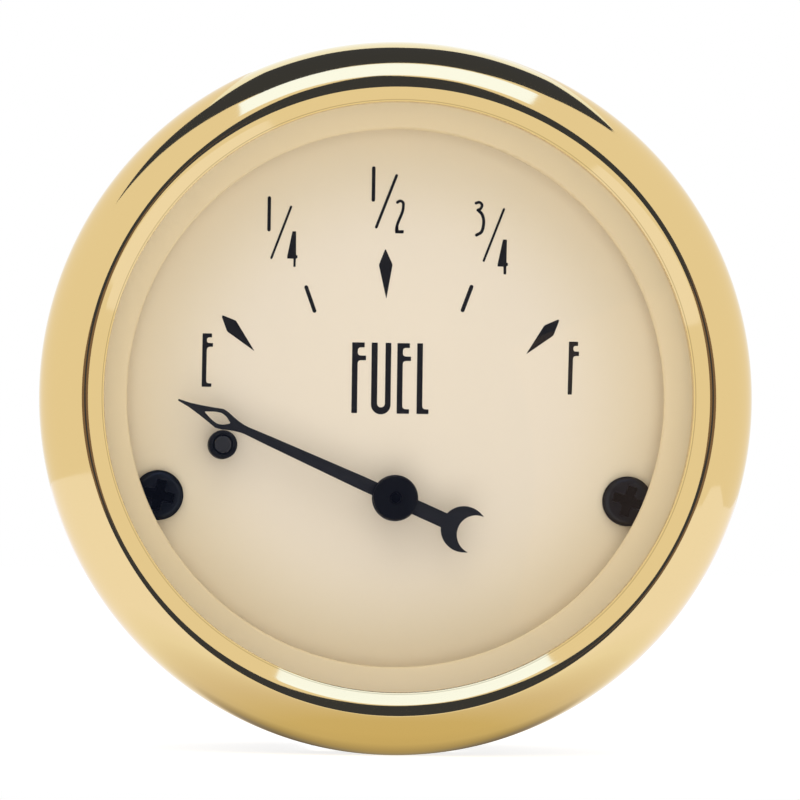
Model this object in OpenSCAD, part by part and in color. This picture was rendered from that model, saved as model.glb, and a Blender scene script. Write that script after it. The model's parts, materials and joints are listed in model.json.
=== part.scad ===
// Fuel gauge for a dashboard: 2 1/16 in panel instrument with a spun brass bezel, a flat glass,
// a cream dial and a short-sweep air-core movement in a drawn steel case.
// The pieces are drawn looking at the dial: x right, y towards 12 o'clock, z towards the driver,
// with z = 0 where the bezel bears on the panel. face_out() then turns the face to the front (-Y).

/* [Bezel] */
// Thickness of the spun brass sheet
bezel_wall = 0.8; // [0.6:0.1:1]
// Height of the straight skirt above the panel
bezel_skirt_h = 2.3; // [2:0.1:3]
// Radius of the rounded outer band
bezel_bulge_r = 5; // [4.6:0.1:5.4]
// Distance from the rim in to the crest, at the middle of its roll
bezel_crest_inset = 3.45; // [3.2:0.05:3.8]
// Radius of the tight roll along the crest
bezel_roll_r = 0.55; // [0.45:0.05:0.7]
// Distance from the rim in to the edge that bears on the glass
bezel_lip_inset = 4.9; // [4.6:0.05:5.4]
// Radius of the corner that is rolled over behind the rim
bezel_hem_r = 0.8; // [0.5:0.1:0.8]
// Gap between the case fillet and the edge of the rolled rim
bezel_rim_gap = 0.4; // [0.3:0.05:0.5]

/* [Glass] */
// Distance from the flange's edge in to the edge of the glass
lens_inset = 1.1; // [0.9:0.05:1.4]
// Thickness of the glass
lens_t = 1.8; // [1.5:0.1:2]
// Width of the ground edge of the glass
lens_chamfer = 0.3; // [0.1:0.1:0.5]
// Thickness of the rubber ring under the glass
gasket_t = 1.6; // [1.2:0.1:2]
// Width of the rubber ring
gasket_w = 1.7; // [1.2:0.1:2]

/* [Case] */
// Outside diameter of the case barrel, which passes through the panel
case_d = 52; // [50:0.1:56]
// Thickness of the case sheet
case_wall = 0.8; // [0.6:0.1:1]
// Radius of the corner between barrel and back
case_corner_r = 2; // [1.2:0.1:2.4]
// Radius of the fillet between barrel and flange
case_fillet_r = 0.7; // [0.5:0.1:0.8]
// Width of the flange around the barrel, which the bezel is rolled over
flange_w = 1.6; // [1.4:0.1:1.8]
// Play between the flange and the inside of the bezel
flange_play = 0.1; // [0.05:0.05:0.3]

/* [Dial] */
// Play between the dial plate and the inside of the barrel
dial_play = 0.3; // [0.2:0.05:0.6]
// Thickness of the dial plate
dial_t = 0.8; // [0.5:0.1:1]
// Depth of the dial face below the panel seat
dial_sink = 1; // [0.5:0.1:1.4]
// Width of the trim ring, from the dial's edge to the edge that frames the visible dial
ring_w = 3.4; // [3:0.1:3.8]
// Thickness of the trim ring
ring_wall = 0.8; // [0.6:0.1:1]
// Height of the trim ring's inner edge above the dial face
ring_lift = 2.6; // [2.4:0.1:3]
// Diameter of the hole in the dial around the spindle
dial_eye_d = 2.8; // [2.4:0.1:3.2]
// Number of light windows under the trim ring
window_count = 8; // [4:1:10]
// Angle that each light window spans
window_angle = 24; // [10:1:28]
// Width of a light window
window_w = 1.2; // [0.8:0.1:1.4]

/* [Dial screws] */
// Distance from the dial's side edges in to the dial screws
dial_screw_inset = 6.05; // [5.6:0.05:7]
// Diameter of a dial screw head
dial_screw_head_d = 4; // [3.6:0.1:4.4]
// Height of a dial screw head
dial_screw_head_h = 1.3; // [1:0.1:1.4]
// Diameter of a dial screw thread
dial_screw_d = 2; // [1.8:0.1:2.2]
// Length of a dial screw under its head
dial_screw_len = 5.5; // [4:0.5:7]
// Diameter of the pillars that carry the dial
pillar_d = 5; // [4.4:0.1:5.4]

/* [Pointer] */
// Distance of the pointer's axis below the centre of the dial
pivot_drop = 8; // [7:0.1:8.4]
// Angle of the resting pointer above the horizontal on the left
pointer_rest_angle = 23.6; // [20:0.1:28]
// Length of the pointer from its axis to its tip
pointer_len = 19.05; // [18:0.05:20]
// Thickness of the pointer sheet
pointer_t = 0.4; // [0.3:0.05:0.5]
// Height of the pointer above the dial face
pointer_lift = 2.1; // [1.9:0.1:2.4]
// Width of the pointer's arm at the hub
arm_root_w = 1.2; // [1:0.05:1.4]
// Width of the pointer's arm at its neck
arm_neck_w = 0.64; // [0.5:0.02:0.8]
// Distance from the axis to the neck
neck_at = 13.2; // [12.6:0.1:13.8]
// Distance from the axis to the widest place of the spear
spear_at = 15.4; // [15:0.1:15.8]
// Width of the spear at its widest place
spear_w = 1.64; // [1.4:0.02:1.8]
// Distance from the widest place of the spear to the root of its slim point
spear_taper_len = 1.6; // [1.4:0.1:1.8]
// Width of the spear at the root of its slim point
spear_taper_w = 0.86; // [0.7:0.02:1]
// Width of the pointer's very tip
tip_w = 0.14; // [0.1:0.02:0.2]
// Width of the rails beside the open slot of the spear
spear_rail_w = 0.33; // [0.26:0.01:0.4]
// Length of the open slot in the spear
spear_slot_len = 2.25; // [1.8:0.05:2.5]
// Diameter of the pointer's round boss
boss_d = 3.7; // [3.4:0.1:4]
// Width of the pointer's tail
tail_w = 1.22; // [1:0.02:1.4]
// Distance from the axis to the centre of the tail's round head
tail_head_at = 6.05; // [5.6:0.05:6.4]
// Diameter of the tail's round head
tail_head_d = 3.7; // [3.4:0.1:4]
// Diameter of the round mouth cut into the tail's head
tail_mouth_d = 3.1; // [2.8:0.1:3.2]
// Distance from the axis to the centre of the mouth
tail_mouth_at = 7.12; // [6.9:0.02:7.3]
// Diameter of the hub's front disc
hub_cap_d = 3.54; // [3.2:0.02:3.6]
// Thickness of the hub's front disc
hub_cap_t = 0.6; // [0.4:0.1:0.7]
// Diameter of the hub's sleeve through the pointer
hub_sleeve_d = 2; // [1.8:0.1:2.2]
// Diameter of the hub's shoulder behind the pointer
hub_shoulder_d = 2.8; // [2.6:0.1:3.2]
// Thickness of the hub's shoulder
hub_shoulder_t = 0.6; // [0.4:0.1:0.7]
// Length of the hub's sleeve behind the shoulder
hub_tail_len = 0.8; // [0.5:0.1:1]
// Diameter of the spindle
spindle_d = 1.2; // [1:0.05:1.3]
// Diameter of the spindle's thin end, seen in the hub
spindle_tip_d = 0.74; // [0.6:0.02:0.8]
// Length of the spindle's thin end past the hub's cap
spindle_tip_out = 0.2; // [0.1:0.05:0.3]

/* [Stop peg] */
// Distance of the stop peg from the pointer's axis
peg_at = 14.4; // [14:0.1:14.6]
// Diameter of the stop peg
peg_d = 1.37; // [1.2:0.02:1.5]
// Height of the stop peg above the dial face
peg_h = 2.9; // [2.8:0.1:3.3]
// Diameter of the soft sleeve on the peg
peg_sleeve_d = 2.3; // [2:0.02:2.4]
// Height of the sleeve above the dial face
peg_sleeve_h = 2.6; // [2.55:0.05:2.75]
// Diameter of the peg's rivet head behind the dial
peg_rivet_d = 2.2; // [1.8:0.1:2.6]
// Thickness of the peg's rivet head
peg_rivet_t = 0.5; // [0.4:0.1:0.6]

/* [Movement] */
// Width and height of the square coil former
former_w = 14; // [13.6:0.1:14.2]
// Depth of the coil former between its coil seats
former_h = 10; // [9.6:0.2:10.4]
// Width of each of a coil's two windings
coil_w = 2.8; // [2.4:0.1:2.9]
// Thickness of a winding
coil_t = 1; // [0.8:0.05:1]
// Gap between a coil's two windings, beside the spindle
coil_gap = 2.4; // [2.3:0.1:2.6]
// Play between a winding and the corner posts of the former
coil_play = 0.2; // [0.1:0.05:0.4]
// Diameter of the rotor magnet
magnet_d = 8; // [7:0.1:8.4]
// Thickness of the rotor magnet
magnet_t = 2.5; // [2:0.1:3]
// Diameter of the chamber around the magnet
chamber_d = 9.2; // [8.8:0.1:9.4]
// Height of the chamber around the magnet
chamber_h = 4; // [3.6:0.1:4.4]
// Diameter of the brass bearings
bearing_d = 2.2; // [2:0.05:2.25]
// Length that a bearing sits in its coil former
bearing_seat = 2.5; // [2:0.1:2.6]
// Length that the front bearing stands proud of its former
bearing_nose = 1; // [0.5:0.1:1.4]
// Thickness of the rear bearing's closed end
bearing_floor = 0.8; // [0.6:0.1:1]
// Depth of the rear bearing's closed end inside its former
bearing_inset = 0.2; // [0.1:0.1:0.4]
// Diameter of the steel shield can
shield_d = 22; // [21.6:0.1:23]
// Thickness of the shield can
shield_wall = 0.6; // [0.4:0.1:0.7]
// Distance from the shield can's mouth to the dial plate
shield_gap = 2.2; // [1.6:0.1:2.6]
// Diameter of the long screws through the coil formers
former_screw_d = 1.6; // [1.4:0.1:1.7]
// Length of the long screws under their heads
former_screw_len = 12.8; // [11:0.2:13.4]
// Diameter of a long screw's head
former_screw_head_d = 3.4; // [3:0.1:3.8]
// Height of a long screw's head
former_screw_head_h = 1.2; // [0.8:0.1:1.4]
// Play between the frame plate behind the shield can and the barrel
frame_play = 1.8; // [1.4:0.1:2.2]
// Thickness of the frame plate
frame_t = 1.2; // [1:0.1:1.4]
// Diameter of a pillar's riveted end
pillar_tenon_d = 2.4; // [2:0.1:2.8]
// Diameter of a rivet head on the frame plate
pillar_rivet_d = 3.6; // [3.2:0.1:4]
// Thickness of a rivet head on the frame plate
pillar_rivet_t = 0.6; // [0.4:0.1:0.8]

/* [Circuit board] */
// Play between the circuit board and the barrel
board_play = 2.7; // [2:0.1:3]
// Thickness of the circuit board
board_t = 1.6; // [1.2:0.1:1.6]
// Diameter of a standoff between the board and the frame plate
standoff_d = 4; // [3.6:0.1:4.4]
// Length of a standoff
standoff_len = 4; // [3.8:0.1:8]
// Distance from the board's edge in to the standoffs
standoff_inset = 2.5; // [2.2:0.1:3]
// Diameter of a standoff's riveted ends
standoff_tenon_d = 2; // [1.6:0.1:2.2]
// Diameter of the ballast resistor
resistor_d = 3.4; // [3:0.1:3.6]
// Length of the ballast resistor
resistor_len = 11; // [9:0.5:12]
// Diameter of the resistor's wires
resistor_wire_d = 0.7; // [0.5:0.1:0.8]
// Length of each wire along the resistor's axis
resistor_wire_out = 1.5; // [1:0.1:2]

/* [Terminals] */
// Gap between the clamp's strap and the corners of the terminal nuts
terminal_side_gap = 0.9; // [0.5:0.1:1.2]
// Distance between neighbouring terminals
terminal_pitch = 10.8; // [10.4:0.1:12]
// Outside diameter of the studs' thread
stud_d = 4.16; // [4:0.01:4.4]
// Width of the chamfer on a stud's end
stud_chamfer = 0.5; // [0.3:0.1:0.7]
// Length of a terminal stud behind the case back
terminal_stud_out = 12; // [11:0.5:14]
// Width across the flats of a terminal stud's head
terminal_head_af = 7.2; // [6.8:0.1:7.6]
// Thickness of a terminal stud's head
terminal_head_t = 1.6; // [1.2:0.1:2]
// Diameter of the insulating washers
insulator_d = 10; // [9.4:0.1:10.4]
// Thickness of an insulating washer
insulator_t = 0.8; // [0.6:0.1:0.8]
// Diameter of the insulator's shoulder in the case back
insulator_shoulder_d = 6.2; // [5.8:0.1:6.6]
// Diameter of the flat washers
flat_washer_d = 9.2; // [8.8:0.1:9.4]
// Thickness of the flat washers
flat_washer_t = 0.8; // [0.6:0.1:1]
// Diameter of the split lock washers
lock_washer_d = 7.6; // [7.2:0.1:8]
// Thickness of the split lock washers
lock_washer_t = 1; // [0.8:0.1:1.2]
// Width of the split in a lock washer
lock_washer_split = 0.7; // [0.4:0.1:1]
// Width across the flats of the nuts
nut_af = 8.7; // [8.4:0.1:8.8]
// Thickness of the nuts
nut_t = 3.2; // [3:0.1:3.6]

/* [Clamp] */
// Thickness of the panel that the gauge is clamped to
panel_t = 5; // [4.8:0.1:8]
// Width of the clamp strap
clamp_w = 12; // [11:0.5:14]
// Thickness of the clamp strap
clamp_t = 1.2; // [1:0.1:1.4]
// Radius of the bends, inside
clamp_bend_r = 1.2; // [0.8:0.1:1.6]
// Gap between the case barrel and a leg of the clamp
clamp_leg_gap = 0.9; // [0.85:0.05:1.3]
// Gap between the case back and the clamp's strap
clamp_back_gap = 6; // [5:0.5:8]
// Radius of the corners of a leg's foot
clamp_foot_r = 2; // [1:0.5:4]
// Distance between the two clamp studs
clamp_stud_span = 32; // [28:0.5:34]
// Length of a clamp stud behind the case back
clamp_stud_out = 23; // [20:0.5:30]
// Diameter of a clamp stud's welded head inside the case
clamp_stud_head_d = 8; // [6:0.1:8.4]
// Thickness of a clamp stud's welded head
clamp_stud_head_t = 0.6; // [0.4:0.1:0.7]

/* [Lamp] */
// Gap between the clamp's strap and the lamp holder's flange
lamp_side_gap = 0.5; // [0.4:0.1:1]
// Distance of the lamp above the case axis
lamp_y = 3; // [2.4:0.1:4.2]
// Diameter of the lamp holder's flange
lamp_flange_d = 14; // [13.6:0.1:14.4]
// Thickness of the lamp holder's flange
lamp_flange_t = 1.4; // [1:0.1:1.8]
// Outside diameter of the lamp holder's sleeve
lamp_sleeve_d = 11.9; // [11.6:0.1:12]
// Length of the sleeve inside the case
lamp_sleeve_len = 6; // [5:0.5:7]
// Diameter of the lamp holder behind its flange
lamp_grip_d = 10; // [9.4:0.1:10.6]
// Length of the lamp holder behind its flange
lamp_grip_len = 7.6; // [7:0.1:9]
// Number of finger ribs on the lamp holder
lamp_rib_count = 8; // [6:1:12]
// Width of a finger rib
lamp_rib_w = 1; // [0.8:0.1:1.2]
// Height of a finger rib
lamp_rib_h = 0.6; // [0.4:0.1:0.8]
// Diameter of a wire hole in the lamp holder's end
lamp_wire_hole_d = 2; // [1.6:0.1:2.2]
// Diameter of the lamp's glass
bulb_d = 10.3; // [10:0.1:10.4]
// Length of the lamp's glass
bulb_len = 20; // [18:0.5:20.5]
// Depth that the lamp's glass sits in the holder's sleeve
bulb_seat = 4; // [3:0.5:5]
// Width of the lamp's glass wedge
wedge_w = 8; // [7.6:0.1:8.2]
// Thickness of the lamp's glass wedge
wedge_t = 2.2; // [2:0.1:2.4]
// Length of the lamp's glass wedge
wedge_len = 5; // [4:0.5:5]
// Thickness of the lamp holder's brass contacts
contact_t = 0.4; // [0.3:0.1:0.5]

/* [Clearances] */
// Gap between pieces that drop into one another
fit_gap = 0.05; // [0.03:0.01:0.1]
// Gap between the spindle and its bearings
bearing_gap = 0.03; // [0.02:0.01:0.06]
// Gap between the resting pointer and the stop peg's sleeve
peg_gap = 0.05; // [0.02:0.01:0.1]
// Gap beside a screw or stud that passes through a sheet
hole_gap = 0.12; // [0.08:0.01:0.2]
// Gap between the lamp holder or lamp and what it is drawn out through
lamp_gap = 0.15; // [0.1:0.01:0.25]

/* [Hidden] */
$fn = 64;

// How far a cut runs past the face that it starts from
past = 0.5;

// Radii that follow from the case barrel, outwards to the bezel's rim
barrel_r = case_d / 2;
barrel_bore_r = barrel_r - case_wall;
flange_r = barrel_r + flange_w;
lens_r = flange_r - lens_inset;
gasket_r = flange_r - 2 * fit_gap;
bezel_r = flange_r + flange_play + bezel_wall;

// Radii that follow from the case barrel, inwards to the visible dial
dial_r = barrel_bore_r - dial_play;
ring_opening_r = dial_r - ring_w;
frame_r = barrel_bore_r - frame_play;
board_r = barrel_bore_r - board_play;

// Bezel, in the plane of its section (radius, height)
bulge_c = [bezel_r - bezel_bulge_r, bezel_skirt_h];
bulge_mid_r = bezel_bulge_r - bezel_wall / 2;
crest_r = bezel_r - bezel_crest_inset;
crest_z = bulge_c.y + sqrt(pow(bulge_mid_r, 2) - pow(crest_r - bulge_c.x, 2));
crest_c = [crest_r, crest_z];

// Heights of the layers behind the bezel
flange_z = bezel_wall;
flange_foot_z = flange_z - case_fillet_r;
gasket_z = flange_z + case_wall;
lens_z = gasket_z + gasket_t;
lip_c = [bezel_r - bezel_lip_inset + bezel_wall / 2, lens_z + lens_t + bezel_wall / 2];
dial_z = -dial_sink;
dial_back_z = dial_z - dial_t;
pointer_z = dial_z + pointer_lift;

// Movement, from the dial plate back to the frame plate
pivot = [0, -pivot_drop];
shield_front_z = dial_back_z - shield_gap;
post_h = 2 * coil_t;
former_front_z = shield_front_z - post_h;
split_z = former_front_z - former_h / 2;
former_back_z = former_front_z - former_h;
shield_floor_z = former_back_z - post_h;
frame_z = shield_floor_z - shield_wall;
frame_back_z = frame_z - frame_t;
post_w = former_w / 2 - (coil_gap / 2 + coil_w + coil_play);
post_at = former_w / 2 - post_w / 2;
rear_cup_z = former_back_z + bearing_inset;
spindle_end_z = rear_cup_z + bearing_floor + fit_gap;
dial_screw_at = [for (side = [-1, 1]) pivot + [side * (dial_r - dial_screw_inset), 0]];

// Circuit board, on the inner insulators
board_z = frame_back_z - standoff_len;
board_back_z = board_z - board_t;
standoff_at = [for (a = [95, 219, 279]) (board_r - standoff_inset) * [cos(a), sin(a)]];
resistor_at = [1, 7];

// Case, whose depth follows from what it holds
back_in_z = board_back_z - insulator_t;
back_z = back_in_z - case_wall;
seat_bore_r = barrel_r + case_fillet_r + bezel_rim_gap;

// Terminals, in a row beside the clamp
terminal_x = clamp_w / 2 + terminal_side_gap + nut_af / 2 / cos(30);
terminal_at = [for (i = [-1, 0, 1]) [terminal_x, i * terminal_pitch]];
stud_r = stud_d / 2;
nut_seat_z = back_z - insulator_t - flat_washer_t;

// Clamp, behind the case back
clamp_at = [for (side = [-1, 1]) [0, side * clamp_stud_span / 2]];
leg_in = barrel_r + clamp_leg_gap;
leg_out = leg_in + clamp_t;
strap_z = back_z - clamp_back_gap;
strap_back_z = strap_z - clamp_t;

// Lamp, in the case back
lamp_at = [-(clamp_w / 2 + lamp_side_gap + lamp_flange_d / 2), lamp_y];
lamp_passage_r = lamp_sleeve_d / 2 + 4 * lamp_gap;
lamp_mouth_z = back_z + lamp_sleeve_len;
bulb_foot_z = lamp_mouth_z - bulb_seat;
contact_slot_t = wedge_t + 2 * contact_t + 2 * lamp_gap;

// Stop peg, where the resting pointer meets its sleeve
neck_slope = (spear_w - arm_neck_w) / 2 / (spear_at - neck_at);
peg_reach = peg_sleeve_d / 2 + peg_gap + (arm_neck_w / 2 + neck_slope * (peg_at - neck_at)) * cos(atan(neck_slope));
peg_angle = 180 - pointer_rest_angle + asin(peg_reach / peg_at);
peg_xy = pivot + peg_at * [cos(peg_angle), sin(peg_angle)];

function unit(v) = v / norm(v);
function across(v) = [-v.y, v.x];
function mirrored(points) = concat(points, [for (i = [len(points) - 1:-1:0]) [points[i].x, -points[i].y]]);

// Turns the dial's plane upright, with its face to the front
module face_out() {
    rotate([90, 0, 0]) children();
}

module at_z(z) {
    translate([0, 0, z]) children();
}

module at_each(points) {
    for (p = points) translate([p.x, p.y, 0]) children();
}

// A flat ring or disc between two heights
module ring(r_out, r_in, z0, z1) {
    at_z(z0) difference() {
        cylinder(r = r_out, h = z1 - z0);
        if (r_in > 0) at_z(-past) cylinder(r = r_in, h = z1 - z0 + 2 * past);
    }
}

// A straight band of sheet between two points of a section, with round ends
module band(p, q, t) {
    n = across(unit(q - p)) * t / 2;
    polygon([p + n, p - n, q - n, q + n]);
    translate(p) circle(d = t);
    translate(q) circle(d = t);
}

// A hexagon by its width across the flats
module hexagon(af) {
    circle(r = af / 2 / cos(30), $fn = 6);
}

module hex_nut(af, bore_r, t) {
    difference() {
        intersection() {
            linear_extrude(t) hexagon(af);
            union() {
                cylinder(r1 = af / 2, r2 = af / 2 + t / 2 * 1.5, h = t / 2);
                at_z(t / 2) cylinder(r1 = af / 2 + t / 2 * 1.5, r2 = af / 2, h = t / 2);
            }
        }
        at_z(-past) cylinder(r = bore_r, h = t + 2 * past);
    }
}

module split_washer(d, bore_r, t, split) {
    difference() {
        cylinder(d = d, h = t);
        at_z(-past) cylinder(r = bore_r, h = t + 2 * past);
        translate([0, -split / 2, -past]) cube([d, split, t + 2 * past]);
    }
}

// Pan head with a domed top, standing on z = 0
module pan_head(d, h) {
    cylinder(d = d, h = h * 0.55);
    at_z(h * 0.55) cylinder(d1 = d, d2 = d * 0.62, h = h * 0.45);
}

// Spun brass ring: a rounded outer band, a tight crest and an inner slope that bears on the glass.
// Behind the rim it is rolled over the flange of the case.
module bezel() {
    color([0.86, 0.72, 0.45]) face_out() rotate_extrude($fn = 128) {
        intersection() {
            translate(bulge_c) difference() {
                circle(r = bezel_bulge_r);
                circle(r = bezel_bulge_r - bezel_wall);
            }
            translate([crest_r, bezel_skirt_h]) square(2 * bezel_bulge_r);
        }
        translate([bezel_r - bezel_wall, bezel_hem_r])
            square([bezel_wall, bezel_skirt_h - bezel_hem_r]);
        translate(crest_c) circle(r = bezel_roll_r);
        band(crest_c, lip_c, bezel_wall);
        translate([seat_bore_r, 0]) square([bezel_r - bezel_hem_r - seat_bore_r, bezel_wall]);
        intersection() {
            translate([bezel_r - bezel_hem_r, bezel_hem_r]) circle(r = bezel_hem_r);
            translate([bezel_r - bezel_hem_r, 0]) square(bezel_hem_r);
        }
    }
}

// Flat glass with ground edges
module lens() {
    color([0.85, 0.92, 0.93, 0.3]) face_out() at_z(lens_z) {
        cylinder(r1 = lens_r - lens_chamfer, r2 = lens_r, h = lens_chamfer);
        at_z(lens_chamfer) cylinder(r = lens_r, h = lens_t - 2 * lens_chamfer);
        at_z(lens_t - lens_chamfer) cylinder(r1 = lens_r, r2 = lens_r - lens_chamfer, h = lens_chamfer);
    }
}

module lens_gasket() {
    color([0.08, 0.08, 0.08]) face_out() ring(gasket_r, gasket_r - gasket_w, gasket_z, lens_z);
}

// Pressed ring between glass and dial: a sloping face round the dial and a skirt that stands on its edge
module trim_ring() {
    inner = [ring_opening_r + ring_wall / 2, dial_z + ring_lift - ring_wall / 2];
    outer = [dial_r - ring_wall / 2, lens_z - ring_wall / 2];
    color([0.88, 0.8, 0.6]) face_out() rotate_extrude($fn = 128) {
        band(inner, outer, ring_wall);
        translate([dial_r - ring_wall, dial_z]) square([ring_wall, outer.y - dial_z]);
    }
}

// Dial plate with its eye, screw holes, peg hole and the light windows that the trim ring hides
module dial_plate() {
    window_r = ring_opening_r + window_w;
    color([0.9, 0.84, 0.72]) face_out() at_z(dial_back_z) linear_extrude(dial_t) difference() {
        circle(r = dial_r, $fn = 128);
        translate(pivot) circle(d = dial_eye_d);
        for (p = dial_screw_at) translate(p) circle(r = dial_screw_d / 2 + hole_gap);
        translate(peg_xy) circle(r = peg_d / 2 + fit_gap);
        for (i = [0:window_count - 1]) rotate(90 + (i + 0.5) * 360 / window_count)
            window(window_r, window_angle, window_w);
    }
}

// A slot along an arc, with round ends
module window(r, angle, w) {
    difference() {
        intersection() {
            circle(r = r + w / 2);
            polygon([[0, 0], for (s = [-1, 1]) 2 * r * [cos(s * angle / 2), sin(s * angle / 2)]]);
        }
        circle(r = r - w / 2);
    }
    for (s = [-1, 1]) rotate(s * angle / 2) translate([r, 0]) circle(d = w);
}

module dial_screws() {
    color([0.1, 0.1, 0.1]) face_out() at_z(dial_z) at_each(dial_screw_at) {
        pan_head(dial_screw_head_d, dial_screw_head_h);
        at_z(-dial_screw_len) cylinder(d = dial_screw_d - 2 * fit_gap, h = dial_screw_len);
    }
}

// Peg riveted into the dial, which the resting pointer leans on
module stop_peg() {
    color([0.35, 0.35, 0.36]) face_out() translate([peg_xy.x, peg_xy.y, 0]) {
        at_z(dial_back_z) cylinder(d = peg_d, h = dial_t + peg_h);
        at_z(dial_back_z - peg_rivet_t) cylinder(d = peg_rivet_d, h = peg_rivet_t);
    }
}

module peg_sleeve() {
    color([0.12, 0.12, 0.12]) face_out() translate([peg_xy.x, peg_xy.y, 0])
        ring(peg_sleeve_d / 2, peg_d / 2 + fit_gap, dial_z, dial_z + peg_sleeve_h);
}

// Outline of the pointer along +x: a slim arm, a spear with an open slot, and a tail with a forked head
module pointer_outline() {
    shoulder = [spear_at + spear_taper_len, spear_taper_w / 2];
    slot_w = spear_w - 2 * spear_rail_w / cos(atan(neck_slope));
    slot_x0 = spear_at - 0.42 * spear_slot_len;
    difference() {
        union() {
            polygon(mirrored([
                [0, arm_root_w / 2],
                [neck_at, arm_neck_w / 2],
                [spear_at, spear_w / 2],
                shoulder,
                [pointer_len, tip_w / 2]
            ]));
            circle(d = boss_d);
        }
        polygon([
            [slot_x0, 0],
            [spear_at, slot_w / 2],
            [slot_x0 + spear_slot_len, 0],
            [spear_at, -slot_w / 2]
        ]);
        circle(r = hub_sleeve_d / 2 + fit_gap);
    }
    difference() {
        union() {
            translate([-tail_head_at, -tail_w / 2]) square([tail_head_at - boss_d / 4, tail_w]);
            translate([-tail_head_at, 0]) circle(d = tail_head_d);
        }
        translate([-tail_mouth_at, 0]) circle(d = tail_mouth_d);
        circle(r = hub_sleeve_d / 2 + fit_gap);
    }
}

module pointer() {
    color([0.08, 0.08, 0.09]) face_out() translate([pivot.x, pivot.y, pointer_z])
        rotate(180 - pointer_rest_angle) linear_extrude(pointer_t) pointer_outline();
}

// Turned bush: a cap in front of the pointer, a shoulder behind it and a sleeve on the spindle
module pointer_hub() {
    cap_z = pointer_z + pointer_t;
    color([0.1, 0.1, 0.11]) face_out() translate([pivot.x, pivot.y, 0]) difference() {
        union() {
            at_z(cap_z) cylinder(d = hub_cap_d, h = hub_cap_t);
            at_z(pointer_z) cylinder(d = hub_sleeve_d, h = pointer_t);
            at_z(pointer_z - hub_shoulder_t) cylinder(d = hub_shoulder_d, h = hub_shoulder_t);
            at_z(pointer_z - hub_shoulder_t - hub_tail_len) cylinder(d = hub_sleeve_d, h = hub_tail_len);
        }
        at_z(dial_z - past) cylinder(r = spindle_d / 2 + fit_gap, h = pointer_lift + past);
        at_z(pointer_z) cylinder(r = spindle_tip_d / 2 + fit_gap, h = pointer_t + hub_cap_t + past);
    }
}

module spindle() {
    tip_z = pointer_z + pointer_t + hub_cap_t + spindle_tip_out;
    color([0.6, 0.6, 0.62]) face_out() translate([pivot.x, pivot.y, 0]) {
        at_z(spindle_end_z) cylinder(d = spindle_d, h = pointer_z - spindle_end_z);
        at_z(spindle_end_z) cylinder(d = spindle_tip_d, h = tip_z - spindle_end_z);
    }
}

module rotor_magnet() {
    color([0.25, 0.25, 0.27]) face_out() translate([pivot.x, pivot.y, 0])
        ring(magnet_d / 2, spindle_d / 2 + fit_gap, split_z - magnet_t / 2, split_z + magnet_t / 2);
}

module front_bearing() {
    color([0.8, 0.65, 0.3]) face_out() translate([pivot.x, pivot.y, 0])
        ring(bearing_d / 2, spindle_d / 2 + bearing_gap, former_front_z - bearing_seat, former_front_z + bearing_nose);
}

// Blind bearing that carries the spindle's end
module rear_bearing() {
    color([0.8, 0.65, 0.3]) face_out() translate([pivot.x, pivot.y, 0]) difference() {
        at_z(rear_cup_z) cylinder(d = bearing_d, h = bearing_seat);
        at_z(spindle_end_z - fit_gap) cylinder(r = spindle_d / 2 + bearing_gap, h = bearing_seat + past);
    }
}

// One half of the moulded coil former, drawn with its split face on z = 0 and its coil seat above
module former_half(screw_depth) {
    half_h = former_h / 2;
    difference() {
        union() {
            translate([-former_w / 2, -former_w / 2, 0]) cube([former_w, former_w, half_h]);
            for (sx = [-1, 1], sy = [-1, 1])
                translate([sx * post_at - post_w / 2, sy * post_at - post_w / 2, half_h])
                    cube([post_w, post_w, post_h]);
        }
        at_z(-past) cylinder(d = chamber_d, h = chamber_h / 2 + past);
        cylinder(r = bearing_d / 2 + fit_gap, h = half_h + past);
        for (sx = [-1, 1], sy = [-1, 1])
            translate([sx * post_at, sy * post_at, -past])
                cylinder(r = former_screw_d / 2 + fit_gap, h = screw_depth + past);
    }
}

module former_front() {
    color([0.92, 0.92, 0.88]) face_out() translate([pivot.x, pivot.y, split_z])
        former_half(former_screw_len - (frame_t + shield_wall + post_h + former_h / 2) + fit_gap);
}

module former_rear() {
    color([0.9, 0.9, 0.86]) face_out() translate([pivot.x, pivot.y, split_z]) mirror([0, 0, 1])
        former_half(former_h / 2 + post_h + past);
}

// Two windings side by side, one on each side of the spindle, around a core of the given size
module winding_pair(core_w, core_h) {
    for (side = [-1, 1])
        translate([side * (coil_gap + coil_w) / 2 - coil_w / 2, 0, 0])
            rotate([90, 0, 90]) linear_extrude(coil_w) difference() {
                rounded_rect(core_w + 2 * coil_t, core_h + 2 * coil_t, 0.8 * coil_t);
                square([core_w, core_h], center = true);
            }
}

// A centred rectangle with round corners
module rounded_rect(w, h, r) {
    square([w - 2 * r, h], center = true);
    square([w, h - 2 * r], center = true);
    for (sx = [-1, 1], sy = [-1, 1]) translate([sx * (w / 2 - r), sy * (h / 2 - r)]) circle(r = r);
}

module inner_coil() {
    color([0.72, 0.38, 0.2]) face_out() translate([pivot.x, pivot.y, split_z])
        winding_pair(former_w, former_h);
}

module outer_coil() {
    color([0.78, 0.42, 0.22]) face_out() translate([pivot.x, pivot.y, split_z]) rotate(90)
        winding_pair(former_w, former_h + 2 * coil_t);
}

module former_screws() {
    color([0.7, 0.7, 0.72]) face_out() translate([pivot.x, pivot.y, frame_back_z])
        for (sx = [-1, 1], sy = [-1, 1]) translate([sx * post_at, sy * post_at, 0]) {
            mirror([0, 0, 1]) pan_head(former_screw_head_d, former_screw_head_h);
            cylinder(d = former_screw_d, h = former_screw_len);
        }
}

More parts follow.
